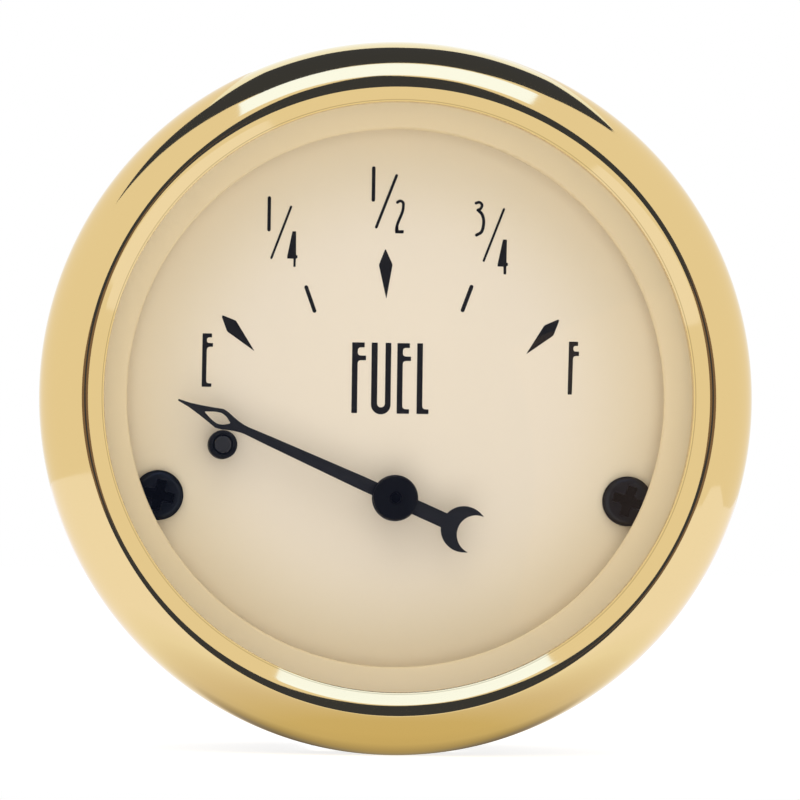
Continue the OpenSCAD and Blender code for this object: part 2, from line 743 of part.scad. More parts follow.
// Drawn steel cup round the coils, which keeps stray fields off the magnet
module shield_can() {
    color([0.7, 0.7, 0.68]) face_out() translate([pivot.x, pivot.y, 0]) difference() {
        ring(shield_d / 2, 0, frame_z, shield_front_z);
        at_z(shield_floor_z) cylinder(r = shield_d / 2 - shield_wall, h = shield_front_z - shield_floor_z + past);
        for (sx = [-1, 1], sy = [-1, 1]) translate([sx * post_at, sy * post_at, frame_z - past])
            cylinder(r = former_screw_d / 2 + hole_gap, h = shield_wall + 2 * past);
    }
}

// Frame plate: it carries the shield can and the dial pillars, and is riveted to the circuit board
module movement_frame() {
    color([0.78, 0.7, 0.45]) face_out() at_z(frame_back_z) linear_extrude(frame_t) difference() {
        circle(r = frame_r);
        translate(lamp_at) circle(r = lamp_passage_r);
        for (p = dial_screw_at) translate(p) circle(r = pillar_tenon_d / 2 + fit_gap);
        for (p = standoff_at) translate(p) circle(r = standoff_tenon_d / 2 + fit_gap);
        for (sx = [-1, 1], sy = [-1, 1]) translate(pivot + post_at * [sx, sy])
            circle(r = former_screw_d / 2 + hole_gap);
        translate([terminal_x, terminal_pitch]) circle(d = insulator_d);
    }
}

// Two pillars riveted into the frame plate and drilled for the dial screws
module dial_pillars() {
    color([0.82, 0.7, 0.35]) face_out() at_each(dial_screw_at) difference() {
        union() {
            ring(pillar_d / 2, 0, frame_z, dial_back_z);
            ring(pillar_tenon_d / 2, 0, frame_back_z - pillar_rivet_t, dial_back_z);
            ring(pillar_rivet_d / 2, 0, frame_back_z - pillar_rivet_t, frame_back_z);
        }
        at_z(dial_z - dial_screw_len - past) cylinder(d = dial_screw_d, h = dial_screw_len + past);
    }
}

module board_standoffs() {
    color([0.82, 0.7, 0.35]) face_out() at_each(standoff_at) {
        ring(standoff_d / 2, 0, board_z, frame_back_z);
        ring(standoff_tenon_d / 2, 0, board_back_z, frame_z);
    }
}

module circuit_board() {
    color([0.15, 0.4, 0.22]) face_out() at_z(board_back_z) linear_extrude(board_t) difference() {
        circle(r = board_r);
        translate(lamp_at) circle(r = lamp_passage_r);
        for (p = terminal_at) translate(p) circle(r = stud_r + hole_gap);
        for (p = standoff_at) translate(p) circle(r = standoff_tenon_d / 2 + fit_gap);
        for (side = [-1, 1]) translate(resistor_at + [side * (resistor_len / 2 + resistor_wire_out), 0])
            circle(r = resistor_wire_d / 2 + hole_gap);
    }
}

module ballast_resistor() {
    wire_x = resistor_len / 2 + resistor_wire_out;
    color([0.55, 0.5, 0.4]) face_out() translate([resistor_at.x, resistor_at.y, board_z + resistor_d / 2]) {
        translate([-resistor_len / 2, 0, 0]) rotate([0, 90, 0]) cylinder(d = resistor_d, h = resistor_len);
        translate([-wire_x, 0, 0]) rotate([0, 90, 0]) cylinder(d = resistor_wire_d, h = 2 * wire_x);
        for (side = [-1, 1]) translate([side * wire_x, 0, 0]) {
            sphere(d = resistor_wire_d);
            at_z(-resistor_d / 2 - board_t) cylinder(d = resistor_wire_d, h = resistor_d / 2 + board_t);
        }
    }
}

// Barrel of the drawn steel case, with a rounded back corner
module case_can() {
    corner_c = [barrel_r - case_corner_r, back_z + case_corner_r];
    color([0.13, 0.13, 0.14]) face_out() difference() {
        union() {
            rotate_extrude($fn = 128) {
                difference() {
                    union() {
                        translate([0, back_z]) square([corner_c.x, flange_foot_z - back_z]);
                        translate([0, corner_c.y]) square([barrel_r, flange_foot_z - corner_c.y]);
                        translate(corner_c) circle(r = case_corner_r);
                    }
                    translate([-past, back_in_z]) square([corner_c.x + past, gasket_z - back_z]);
                    translate([-past, corner_c.y]) square([barrel_bore_r + past, gasket_z - corner_c.y + past]);
                    translate(corner_c) circle(r = case_corner_r - case_wall);
                }
            }
        }
        at_each(terminal_at) back_hole(insulator_shoulder_d / 2 + fit_gap);
        at_each(clamp_at) back_hole(stud_r + fit_gap);
        at_each([lamp_at]) back_hole(lamp_sleeve_d / 2 + lamp_gap);
    }
}

// Flange at the mouth of the barrel, on its fillet, which the bezel is rolled over
module case_flange() {
    color([0.13, 0.13, 0.14]) face_out() rotate_extrude($fn = 128) {
        difference() {
            translate([barrel_bore_r, flange_foot_z]) square([case_wall + case_fillet_r, case_fillet_r]);
            translate([barrel_r + case_fillet_r, flange_foot_z]) circle(r = case_fillet_r);
        }
        translate([barrel_bore_r, flange_z]) square([flange_r - barrel_bore_r, case_wall]);
    }
}

module back_hole(r) {
    at_z(back_z - past) cylinder(r = r, h = case_wall + 2 * past);
}

// Shank of a stud between its head and its chamfered end
module stud(head_z, end_z) {
    at_z(end_z) cylinder(r1 = stud_r - stud_chamfer, r2 = stud_r, h = stud_chamfer);
    at_z(end_z + stud_chamfer) cylinder(r = stud_r, h = head_z - end_z - stud_chamfer);
}

module terminal_studs() {
    color([0.8, 0.66, 0.34]) face_out() at_each(terminal_at) {
        at_z(board_z) linear_extrude(terminal_head_t) hexagon(terminal_head_af);
        stud(board_z, back_z - terminal_stud_out);
    }
}

module inner_insulators() {
    color([0.5, 0.3, 0.18]) face_out() at_each(terminal_at)
        ring(insulator_d / 2, stud_r + hole_gap, back_in_z, board_back_z);
}

// Insulating washers outside the case, with a shoulder that keeps the stud off the sheet
module outer_insulators() {
    color([0.5, 0.3, 0.18]) face_out() at_each(terminal_at) {
        ring(insulator_d / 2, stud_r + hole_gap, back_z - insulator_t, back_z);
        ring(insulator_shoulder_d / 2, stud_r + hole_gap, back_z, back_in_z);
    }
}

module terminal_washers() {
    color([0.75, 0.75, 0.76]) face_out() at_each(terminal_at)
        ring(flat_washer_d / 2, stud_r + hole_gap, nut_seat_z, nut_seat_z + flat_washer_t);
}

module terminal_lock_washers() {
    color([0.7, 0.7, 0.72]) face_out() at_each(terminal_at) at_z(nut_seat_z - lock_washer_t)
        rotate(90) split_washer(lock_washer_d, stud_r + hole_gap, lock_washer_t, lock_washer_split);
}

module terminal_nuts() {
    color([0.8, 0.66, 0.34]) face_out() at_each(terminal_at)
        at_z(nut_seat_z - lock_washer_t - nut_t) hex_nut(nut_af, stud_r + fit_gap, nut_t);
}

// Studs welded to the inside of the case back
module clamp_studs() {
    color([0.72, 0.72, 0.73]) face_out() at_each(clamp_at) {
        at_z(back_in_z) cylinder(d = clamp_stud_head_d, h = clamp_stud_head_t);
        stud(back_in_z, back_z - clamp_stud_out);
    }
}

// Section of the clamp, in the plane through 6 and 12 o'clock
module clamp_section() {
    bend_out_r = clamp_bend_r + clamp_t;
    for (side = [0, 1]) mirror([side, 0]) {
        translate([0, strap_back_z]) square([leg_out - bend_out_r, clamp_t]);
        translate([leg_in, strap_back_z + bend_out_r]) square([clamp_t, -panel_t - strap_back_z - bend_out_r]);
        intersection() {
            translate([leg_out - bend_out_r, strap_back_z]) square(bend_out_r);
            translate([leg_out - bend_out_r, strap_back_z + bend_out_r]) difference() {
                circle(r = bend_out_r);
                circle(r = clamp_bend_r);
            }
        }
    }
}

// U-shaped strap whose feet press on the back of the panel
module clamp_bracket() {
    color([0.6, 0.6, 0.6]) face_out() difference() {
        translate([-clamp_w / 2, 0, 0]) rotate([90, 0, 90]) linear_extrude(clamp_w) clamp_section();
        at_each(clamp_at) at_z(strap_back_z - past) cylinder(r = stud_r + 2 * hole_gap, h = clamp_t + 2 * past);
        for (sx = [-1, 1]) translate([sx * (clamp_w / 2 - clamp_foot_r), 0, -panel_t - clamp_foot_r])
            rotate([90, 0, 0]) at_z(-leg_out - past) linear_extrude(2 * (leg_out + past)) difference() {
                translate([sx > 0 ? 0 : -clamp_foot_r - past, 0]) square(clamp_foot_r + past);
                circle(r = clamp_foot_r);
            }
    }
}

module clamp_lock_washers() {
    color([0.7, 0.7, 0.72]) face_out() at_each(clamp_at) at_z(strap_back_z - lock_washer_t)
        split_washer(lock_washer_d, stud_r + hole_gap, lock_washer_t, lock_washer_split);
}

module clamp_nuts() {
    color([0.75, 0.75, 0.76]) face_out() at_each(clamp_at)
        at_z(strap_back_z - lock_washer_t - nut_t) hex_nut(nut_af, stud_r + fit_gap, nut_t);
}

// Moulded push-in holder: a sleeve for the lamp's glass, a flange on the case back and a ribbed grip
module lamp_holder() {
    grip_z = back_z - lamp_flange_t;
    slot_w = wedge_w + 2 * lamp_gap;
    color([0.14, 0.14, 0.15]) face_out() translate([lamp_at.x, lamp_at.y, 0]) difference() {
        union() {
            ring(lamp_sleeve_d / 2, 0, back_z, lamp_mouth_z);
            ring(lamp_flange_d / 2, 0, grip_z, back_z);
            ring(lamp_grip_d / 2, 0, grip_z - lamp_grip_len, grip_z);
            for (i = [0:lamp_rib_count - 1]) rotate(i * 360 / lamp_rib_count)
                translate([lamp_grip_d / 2 - lamp_rib_h / 2, -lamp_rib_w / 2, grip_z - lamp_grip_len + lamp_rib_w])
                    cube([1.5 * lamp_rib_h, lamp_rib_w, lamp_grip_len - lamp_rib_w]);
        }
        at_z(bulb_foot_z) cylinder(r = bulb_d / 2 + lamp_gap, h = lamp_mouth_z - bulb_foot_z + past);
        translate([-slot_w / 2, -contact_slot_t / 2, bulb_foot_z - wedge_len - lamp_gap])
            cube([slot_w, contact_slot_t, wedge_len + lamp_gap + past]);
        for (side = [-1, 1]) translate([side * wedge_w / 4, 0, grip_z - lamp_grip_len - past])
            cylinder(d = lamp_wire_hole_d, h = bulb_foot_z - wedge_len - grip_z + lamp_grip_len + past);
    }
}

// Two brass leaves that lie along the slot and touch the wires of the glass wedge
module lamp_contacts() {
    leaf_w = wedge_w * 0.4;
    color([0.82, 0.68, 0.35]) face_out() translate([lamp_at.x, lamp_at.y, bulb_foot_z - wedge_len])
        for (side = [-1, 1])
            translate([side * wedge_w / 4 - leaf_w / 2, side > 0 ? contact_slot_t / 2 - contact_t : -contact_slot_t / 2, 0])
                cube([leaf_w, contact_t, wedge_len - contact_t]);
}

// Wedge-base lamp: a glass tube with a round top and a flat glass foot
module lamp_bulb() {
    bulb_r = bulb_d / 2;
    color([0.9, 0.92, 0.9, 0.4]) face_out() translate([lamp_at.x, lamp_at.y, bulb_foot_z]) {
        cylinder(r = bulb_r, h = bulb_len - bulb_r);
        at_z(bulb_len - bulb_r) sphere(r = bulb_r);
        translate([-wedge_w / 2, -wedge_t / 2, -wedge_len]) cube([wedge_w, wedge_t, wedge_len]);
    }
}

bezel();
lens();
lens_gasket();
trim_ring();
dial_plate();
dial_screws();
stop_peg();
peg_sleeve();
pointer();
pointer_hub();
spindle();
rotor_magnet();
front_bearing();
rear_bearing();
former_front();
former_rear();
inner_coil();
outer_coil();
former_screws();
shield_can();
movement_frame();
dial_pillars();
board_standoffs();
circuit_board();
ballast_resistor();
case_can();
case_flange();
terminal_studs();
inner_insulators();
outer_insulators();
terminal_washers();
terminal_lock_washers();
terminal_nuts();
clamp_studs();
clamp_bracket();
clamp_lock_washers();
clamp_nuts();
lamp_holder();
lamp_contacts();
lamp_bulb();
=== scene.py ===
# Fuel gauge for a dashboard: a spun brass bezel over flat glass, a cream printed dial, and the case,
# movement, terminals, clamp and lamp behind it. Sizes here are millimetres seen on the dial: x right,
# y towards 12 o'clock, z towards the driver. upright() turns them into metres in the gauge's frame.
import json

import bmesh
import bpy
import numpy as np
from mathutils import Matrix, Vector

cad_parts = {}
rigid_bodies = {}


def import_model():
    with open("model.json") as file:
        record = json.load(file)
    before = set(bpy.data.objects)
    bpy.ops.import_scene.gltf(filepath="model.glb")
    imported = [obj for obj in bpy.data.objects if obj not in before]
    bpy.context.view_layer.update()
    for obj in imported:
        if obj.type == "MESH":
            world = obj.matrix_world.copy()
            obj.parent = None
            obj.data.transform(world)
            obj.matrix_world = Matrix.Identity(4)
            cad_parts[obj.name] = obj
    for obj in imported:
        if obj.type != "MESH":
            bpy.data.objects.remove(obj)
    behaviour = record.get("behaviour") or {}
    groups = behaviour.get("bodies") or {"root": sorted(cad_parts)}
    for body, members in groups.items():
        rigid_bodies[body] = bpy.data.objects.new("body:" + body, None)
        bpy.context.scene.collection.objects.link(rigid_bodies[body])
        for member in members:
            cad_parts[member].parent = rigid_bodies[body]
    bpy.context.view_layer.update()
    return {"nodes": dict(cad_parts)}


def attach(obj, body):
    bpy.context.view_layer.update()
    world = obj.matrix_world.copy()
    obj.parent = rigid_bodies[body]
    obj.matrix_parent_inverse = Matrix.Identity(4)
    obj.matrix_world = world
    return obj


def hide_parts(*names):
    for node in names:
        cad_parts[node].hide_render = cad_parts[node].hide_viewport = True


for left_over in list(bpy.data.objects):
    bpy.data.objects.remove(left_over)
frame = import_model()
nodes = frame["nodes"]
scene = bpy.context.scene
scene.view_settings.view_transform = "Standard"

# Studio, in metres: a white room with the camera half a metre in front of the dial, a little to its left
# and below it, rolled by less than a degree. Broad lamps light the gauge. Its brass mirrors the room and
# the cards further down, but never the lamps.
AZIMUTH = np.radians(-3.8)
ELEVATION = np.radians(-1.4)
ROLL = np.radians(0.745)
CAMERA_DISTANCE = 0.47
BEZEL_WIDEST_Y = -0.0023
CAMERA_AIM = Vector((0.00027, BEZEL_WIDEST_Y, -0.00017))
SENSOR_WIDTH = 36
PICTURE_WIDTH = 800
PIXELS_PER_METRE = 12525
LAMP_DISTANCE = 0.5

towards_camera = Vector((
    np.sin(AZIMUTH) * np.cos(ELEVATION),
    -np.cos(AZIMUTH) * np.cos(ELEVATION),
    np.sin(ELEVATION),
))
camera = bpy.data.objects.new("camera", bpy.data.cameras.new("camera"))
camera.data.sensor_width = SENSOR_WIDTH
camera.data.lens = SENSOR_WIDTH * PIXELS_PER_METRE * CAMERA_DISTANCE / PICTURE_WIDTH
camera.data.clip_start = 0.01
camera.location = CAMERA_AIM + towards_camera * CAMERA_DISTANCE
camera.rotation_mode = "QUATERNION"
upright_camera = (-towards_camera).to_track_quat("-Z", "Y")
camera.rotation_quaternion = upright_camera @ Matrix.Rotation(ROLL, 3, "Z").to_quaternion()
scene.collection.objects.link(camera)
scene.camera = camera


def srgb(r, g, b):
    """A colour given by its three 0 to 255 display values, as the linear values that a shader takes."""
    v = np.array([r, g, b]) / 255
    linear = np.where(v <= 0.04045, v / 12.92, ((v + 0.055) / 1.055) ** 2.4)
    return (*linear.tolist(), 1.0)


def node(tree, kind, given=(), **settings):
    """A new shader node with its settings. given pairs an input's name or number with the value that it
    takes, or with the output that feeds it."""
    made = tree.nodes.new("ShaderNode" + kind)
    for setting, value in settings.items():
        setattr(made, setting, value)
    for which, value in dict(given).items():
        if isinstance(value, bpy.types.NodeSocket):
            tree.links.new(value, made.inputs[which])
        else:
            made.inputs[which].default_value = value
    return made


def math(tree, operation, *operands):
    """The result of a math node. Each operand is a number or the output that feeds it."""
    return node(tree, "Math", enumerate(operands), operation=operation).outputs[0]


def vector_math(tree, operation, *operands):
    """The result of a vector math node: a single value for a distance, a vector for the rest."""
    made = node(tree, "VectorMath", enumerate(operands), operation=operation)
    return made.outputs["Value" if operation == "DISTANCE" else "Vector"]


def broad_lamp(name, direction, size, energy, color):
    """A round lamp that faces the gauge from a direction and lights it without being mirrored."""
    lamp = bpy.data.objects.new(name, bpy.data.lights.new(name, "AREA"))
    lamp.data.shape = "DISK"
    lamp.data.size = size
    lamp.data.energy = energy
    lamp.data.color = color
    lamp.visible_glossy = False
    lamp.visible_transmission = False
    towards = Vector(direction).normalized()
    lamp.location = towards * LAMP_DISTANCE
    lamp.rotation_mode = "QUATERNION"
    lamp.rotation_quaternion = towards.to_track_quat("Z", "Y")
    scene.collection.objects.link(lamp)


world = bpy.data.worlds.new("white_room")
scene.world = world
world.use_nodes = True
room = world.node_tree
room.nodes.clear()
ray = node(room, "LightPath").outputs
gloss_or_glass = math(room, "MAXIMUM", ray["Is Glossy Ray"], ray["Is Transmission Ray"])
as_light = node(room, "Background", {"Color": srgb(255, 252, 247), "Strength": 0.86})
as_seen = node(room, "Background", {"Color": (1, 1, 1, 1), "Strength": 1.0})
walls = node(room, "MixShader", {
    0: math(room, "MAXIMUM", ray["Is Camera Ray"], gloss_or_glass),
    1: as_light.outputs[0],
    2: as_seen.outputs[0],
})
node(room, "OutputWorld", {"Surface": walls.outputs[0]})
broad_lamp("lamp_overhead", (-0.05, -0.5, 0.86), 0.4, 0.38, (1.0, 0.97, 0.86))
broad_lamp("lamp_front", (0.0, -0.86, -0.5), 0.45, 0.96, (0.99, 1.0, 1.04))

# Floor: a pale matt sheet level with the foot of the bezel, which keeps the gauge's shadow and looks
# white to the camera. Gloss and glass see the room in its place, and light from below passes it.
FLOOR_Z = -0.0285
FLOOR_FRONT = -0.075
FLOOR_REACH = 3
FLOOR_GLOW = 0.8


def stage_object(name, verts, faces, material):
    """A plane or shell of the studio, which isn't part of the gauge."""
    mesh = bpy.data.meshes.new(name)
    mesh.from_pydata(np.asarray(verts).tolist(), [], faces)
    mesh.materials.append(material)
    obj = bpy.data.objects.new(name, mesh)
    scene.collection.objects.link(obj)
    return obj


def bare_material(name):
    """A material whose node tree is still empty."""
    mat = bpy.data.materials.new(name)
    mat.use_nodes = True
    mat.node_tree.nodes.clear()
    return mat


pale = bare_material("pale_floor")
floor_tree = pale.node_tree
matt = node(floor_tree, "BsdfDiffuse", {"Color": srgb(208, 204, 198)})
to_camera = node(floor_tree, "LightPath").outputs["Is Camera Ray"]
glow = node(floor_tree, "Emission", {
    "Color": (1, 1, 1, 1),
    "Strength": math(floor_tree, "MULTIPLY", to_camera, FLOOR_GLOW),
})
both = node(floor_tree, "AddShader", {0: matt.outputs[0], 1: glow.outputs[0]})
node(floor_tree, "OutputMaterial", {"Surface": both.outputs[0]})
floor_corners = [
    (-FLOOR_REACH, FLOOR_FRONT, FLOOR_Z),
    (FLOOR_REACH, FLOOR_FRONT, FLOOR_Z),
    (FLOOR_REACH, FLOOR_REACH, FLOOR_Z),
    (-FLOOR_REACH, FLOOR_REACH, FLOOR_Z),
]
floor = stage_object("floor", floor_corners, [(0, 1, 2, 3)], pale)
floor.visible_glossy = False
floor.visible_transmission = False
floor.visible_shadow = False


# Table that only the brass mirrors, its corners in millimetres. It starts just in front of the gauge, and
# its right edge is crumpled. Its painted shades go by the distance in metres from the gauge's foot: warm
# and dim near by, paler further out, and a dark painted shadow where the gauge keeps the light from it.
def only_mirrored(obj):
    """Leaves a card of the studio to gloss and glass."""
    obj.visible_camera = False
    obj.visible_diffuse = False
    obj.visible_shadow = False


def card_material(name, color):
    """A material that gives off one colour."""
    mat = bare_material(name)
    shade = node(mat.node_tree, "Emission", {"Color": (*color, 1)})
    node(mat.node_tree, "OutputMaterial", {"Surface": shade.outputs[0]})
    return mat


def from_point(tree, stretch, point):
    """Distance of the object coordinates from a point, with each axis stretched first."""
    stretched = vector_math(tree, "MULTIPLY", node(tree, "TexCoord").outputs["Object"], stretch)
    return vector_math(tree, "DISTANCE", stretched, [s * p for s, p in zip(stretch, point)])


def shades_along(tree, value, widest, shades):
    """A ramp over a value: shades gives (value, colour) pairs, widest the value at the ramp's end."""
    ramp = node(tree, "ValToRGB", {0: math(tree, "DIVIDE", value, widest)})
    stops = ramp.color_ramp.elements
    while len(stops) < len(shades):
        stops.new(0.5)
    for stop, (at, shade) in zip(stops, shades):
        stop.position = at / widest
        stop.color = (*shade, 1)
    return ramp.outputs["Color"]


table = card_material("table_card", (1, 1, 1))
table_tree = table.node_tree
shade_by_distance = shades_along(table_tree, from_point(table_tree, (1, 1.5, 1), (0, BEZEL_WIDEST_Y, FLOOR_Z)), 0.04, (
    (0.0, (0.76, 0.67, 0.40)),
    (0.010, (0.77, 0.70, 0.47)),
    (0.0175, (0.86, 0.83, 0.80)),
    (0.028, (1.05, 1.10, 1.22)),
    (0.036, (1.10, 1.15, 1.36)),
))
contact_shadow = shades_along(table_tree, from_point(table_tree, (60, 200, 1), (0, 0.001, FLOOR_Z)), 1.6, (
    (0.5, (0.22, 0.20, 0.22)),
    (0.77, (0.42, 0.42, 0.48)),
    (0.92, (0.62, 0.60, 0.56)),
    (1.18, (0.95, 0.95, 0.95)),
    (1.45, (1.0, 1.0, 1.0)),
))
shaded = vector_math(table_tree, "MULTIPLY", shade_by_distance, contact_shadow)
table_tree.links.new(shaded, table_tree.nodes["Emission"].inputs["Color"])
table_front = [
    (-114, -291), (-49, -117), (-28.5, -43), (-16.5, -16.2), (-7.6, -11.7), (0, -10.4),
    (7.6, -11.7), (16.5, -16.2), (28.5, -43), (49, -117), (114, -291),
]
table_right = [(95, -65), (121, -65), (125, -27), (100, 12), (103, 56), (139, 200), (139, 600)]
table_left_back = [(-114, 600)]
table_rim = [(x / 1000, y / 1000, FLOOR_Z) for x, y in table_front + table_right + table_left_back]
only_mirrored(stage_object("table_card", table_rim, [list(range(len(table_rim)))], table))


# Cards that only the brass mirrors: a softbox overhead, the dark round the camera, two brown cards at the
# sides, and a dark crescent behind the gauge's top with a pale one past it.
def grid_faces(rows, columns, closed=False):
    """Four-sided faces between the points of a grid that is counted row by row. A closed grid also joins
    its last row to its first and its last column to its first."""
    open_ends = 0 if closed else 1
    i, j = np.meshgrid(np.arange(rows - open_ends), np.arange(columns - open_ends), indexing="ij")
    here, below = i * columns, (i + 1) % rows * columns
    j_next = (j + 1) % columns
    return np.stack([here + j, here + j_next, below + j_next, below + j], -1).reshape(-1, 4).tolist()


def mirrored_card(name, mat, polar, around, radius=0.7):
    """Part of a sphere round the gauge that only gloss sees. around runs from and to an angle about the
    driver's direction, from the right over the top, in degrees. polar gives the angles from the driver's
    direction at which the card starts and ends, each as a row of values evenly spaced along around."""
    rows, columns = 13, 49
    across, outwards = np.linspace(0, 1, columns), np.linspace(0, 1, rows)[:, None]
    low, high = (np.interp(across, np.linspace(0, 1, len(edge)), edge) for edge in polar)
    p = np.radians(low + (high - low) * outwards)
    a = np.radians(np.broadcast_to(np.linspace(*around, columns), p.shape))
    verts = np.stack([np.sin(p) * np.cos(a), -np.cos(p), np.sin(p) * np.sin(a)], -1).reshape(-1, 3)
    only_mirrored(stage_object(name, verts * radius, grid_faces(rows, columns), mat))


softbox_white = card_material("softbox_white", (1.25, 1.65, 2.9))
softbox_edges = [51, 52, 53, 53, 53], [76.5, 76.5, 76, 75, 74.5]
mirrored_card("softbox", softbox_white, softbox_edges, (63.5, 116), 0.25)
camera_dark = card_material("camera_dark", (0.05, 0.062, 0.11))
reach_up = [20, 19, 17, 17, 22, 44, 51, 44, 22, 18, 17, 18, 20]
reach_down = [20, 20, 21, 22, 30, 36, 38, 36, 32, 26, 20, 18, 18]
mirrored_card("card_round_camera_upper", camera_dark, ([0] * 13, reach_up), (0, 180))
mirrored_card("card_round_camera_lower", camera_dark, ([0] * 13, reach_down), (180, 360))
brown_dark = card_material("brown_dark", (0.24, 0.18, 0.16))
side_edges = [6] * 5, [18, 24, 26, 24, 18]
mirrored_card("card_at_right", brown_dark, side_edges, (-22, 22), 0.69)
mirrored_card("card_at_left", brown_dark, side_edges, (158, 202), 0.69)
crescent_inner = [97, 83, 78, 77.5, 76, 73, 79.5, 88, 94]
crescent_outer = [103, 127, 126, 121.5, 124, 124, 107, 102, 94]
mirrored_card("card_behind_top", camera_dark, (crescent_inner, crescent_outer), (50, 143.5))
pale_behind = card_material("pale_behind", (1.12, 1.28, 1.55))
past_edges = crescent_outer[:7], [104, 150, 172, 172, 172, 150, 108]
mirrored_card("card_past_top", pale_behind, past_edges, (50, 120.1))


# Case: a drawn steel can with a flange, sprayed with satin black enamel inside and out. The same
# grain group, with other values, gives every finish of the gauge its slight unevenness.
def grain_group():
    """Noise at two sizes over the object's own coordinates: it shades the colour, spreads the
    roughness and, as a bump, lifts the normal."""
    fine_share = 0.4
    group = bpy.data.node_groups.new("grain", "ShaderNodeTree")
    for name, kind, value in (
        ("Color", "NodeSocketColor", (1, 1, 1, 1)),
        ("Color Spread", "NodeSocketFloat", 0.05),
        ("Roughness", "NodeSocketFloat", 0.5),
        ("Roughness Spread", "NodeSocketFloat", 0.1),
        ("Scale", "NodeSocketFloat", 2000.0),
        ("Depth", "NodeSocketFloat", 0.000005),
    ):
        group.interface.new_socket(name=name, in_out="INPUT", socket_type=kind).default_value = value
    given = group.nodes.new("NodeGroupInput").outputs
    place = node(group, "TexCoord").outputs["Object"]
    fine = node(group, "TexNoise", {"Vector": place, "Scale": given["Scale"], "Detail": 4}).outputs["Fac"]
    broad = node(group, "TexNoise", {"Vector": place, "Scale": 90, "Detail": 3}).outputs["Fac"]
    level = math(group, "MULTIPLY_ADD", fine, fine_share, broad)
    centred = math(group, "SUBTRACT", level, (1 + fine_share) / 2)
    shade = math(group, "MULTIPLY_ADD", centred, given["Color Spread"], 1)
    tint = node(group, "VectorMath", {0: given["Color"], "Scale": shade}, operation="SCALE")
    rough = math(group, "MULTIPLY_ADD", centred, given["Roughness Spread"], given["Roughness"])
    bump = node(group, "Bump", {"Height": fine, "Distance": given["Depth"]})
    for name, kind in (
        ("Color", "NodeSocketColor"),
        ("Roughness", "NodeSocketFloat"),
        ("Normal", "NodeSocketVector"),
    ):
        group.interface.new_socket(name=name, in_out="OUTPUT", socket_type=kind)
    out = group.nodes.new("NodeGroupOutput").inputs
    group.links.new(tint.outputs[0], out["Color"])
    group.links.new(rough, out["Roughness"])
    group.links.new(bump.outputs["Normal"], out["Normal"])
    return group


grain = grain_group()


def finish(name, color, metallic=0.0, roughness=0.5, spread=0.08, tone=0.06, scale=2000.0, depth=0.000004,
           **more):
    """A Principled material whose colour, roughness and normal come through the grain group. more names
    further sockets of the shader with their plain values."""
    mat = bpy.data.materials.new(name)
    mat.use_nodes = True
    tree = mat.node_tree
    surface = node(tree, "Group", {
        "Color": color,
        "Color Spread": tone,
        "Roughness": roughness,
        "Roughness Spread": spread,
        "Scale": scale,
        "Depth": depth,
    }, node_tree=grain)
    shader = tree.nodes["Principled BSDF"]
    for result, socket in (("Color", "Base Color"), ("Roughness", "Roughness"), ("Normal", "Normal")):
        tree.links.new(surface.outputs[result], shader.inputs[socket])
    shader.inputs["Metallic"].default_value = metallic
    for socket, value in more.items():
        shader.inputs[socket.replace("_", " ")].default_value = value
    return mat


def dress(material, *names):
    """Puts one finish on CAD nodes, in place of what they came with."""
    for name in names:
        slots = nodes[name].data.materials
        slots.clear()
        slots.append(material)


case_black = finish("case_black", srgb(30, 30, 32), roughness=0.38, scale=900, depth=0.000006)
dress(case_black, "case_can", "case_flange")

# Movement: two moulded nylon formers round the rotor magnet, with crossed copper windings, brass
# bearings, long steel screws, and a drawn steel can on a yellow passivated frame plate.
nylon = finish("nylon", srgb(228, 226, 214), roughness=0.42, scale=700)
dress(nylon, "former_front", "former_rear")
turned_brass = finish("turned_brass", srgb(214, 180, 104), metallic=1.0, roughness=0.24)
dress(turned_brass, "front_bearing", "rear_bearing", "dial_pillars", "board_standoffs")
bright_steel = finish("bright_steel", srgb(190, 190, 192), metallic=1.0, roughness=0.28)
dress(bright_steel, "former_screws", "shield_can")
sintered = finish("sintered_magnet", srgb(70, 70, 74), metallic=0.6, roughness=0.6)
dress(sintered, "rotor_magnet")
passivated = finish("passivated_steel", srgb(206, 178, 112), metallic=1.0, roughness=0.34)
dress(passivated, "movement_frame")


def wound_wire(name, lay):
    """Enamelled copper wire wound side by side: the bands of a wave along one of the object's axes, a
    wire's thickness apart, lift the normal."""
    mat = finish(name, srgb(182, 98, 54), metallic=0.85, roughness=0.3)
    tree = mat.node_tree
    bands = node(tree, "TexWave", {
        "Vector": node(tree, "TexCoord").outputs["Object"],
        "Scale": 2500,
        "Distortion": 0.3,
    }, bands_direction=lay)
    relief = node(tree, "Bump", {"Height": bands.outputs["Fac"], "Distance": 0.00004})
    tree.links.new(relief.outputs["Normal"], tree.nodes["Principled BSDF"].inputs["Normal"])
    return mat


dress(wound_wire("copper_wire_upright", "X"), "inner_coil")
dress(wound_wire("copper_wire_level", "Z"), "outer_coil")

# Circuit board: a green lacquered board on three standoffs behind the frame plate, with a ceramic
# ballast resistor soldered on it.
board_green = finish("board_lacquer", srgb(34, 92, 52), roughness=0.3)
dress(board_green, "circuit_board")
ceramic = finish("ceramic", srgb(198, 190, 170), roughness=0.6)
dress(ceramic, "ballast_resistor")

# Dial: an aluminium plate enamelled cream, with the marks, the word FUEL, the letters and the quarters
# screen-printed on it in near black. The lamp shines through eight slots that the trim ring hides. Towards
# the rim the cream is painted warmer and darker: painted shade, and painted warm light bounced from the
# brass.
DIAL_Z = -1.0
RIM_SHADE_FROM = 12.0
RIM_SHADE_TO = 21.5
INK_T = 0.02
INK_SPREAD = 0.014


def distance_from_axis(tree):
    """Distance of the object coordinates from the dial's axis, in metres."""
    return from_point(tree, (1, 0, 1), (0, 0, 0))


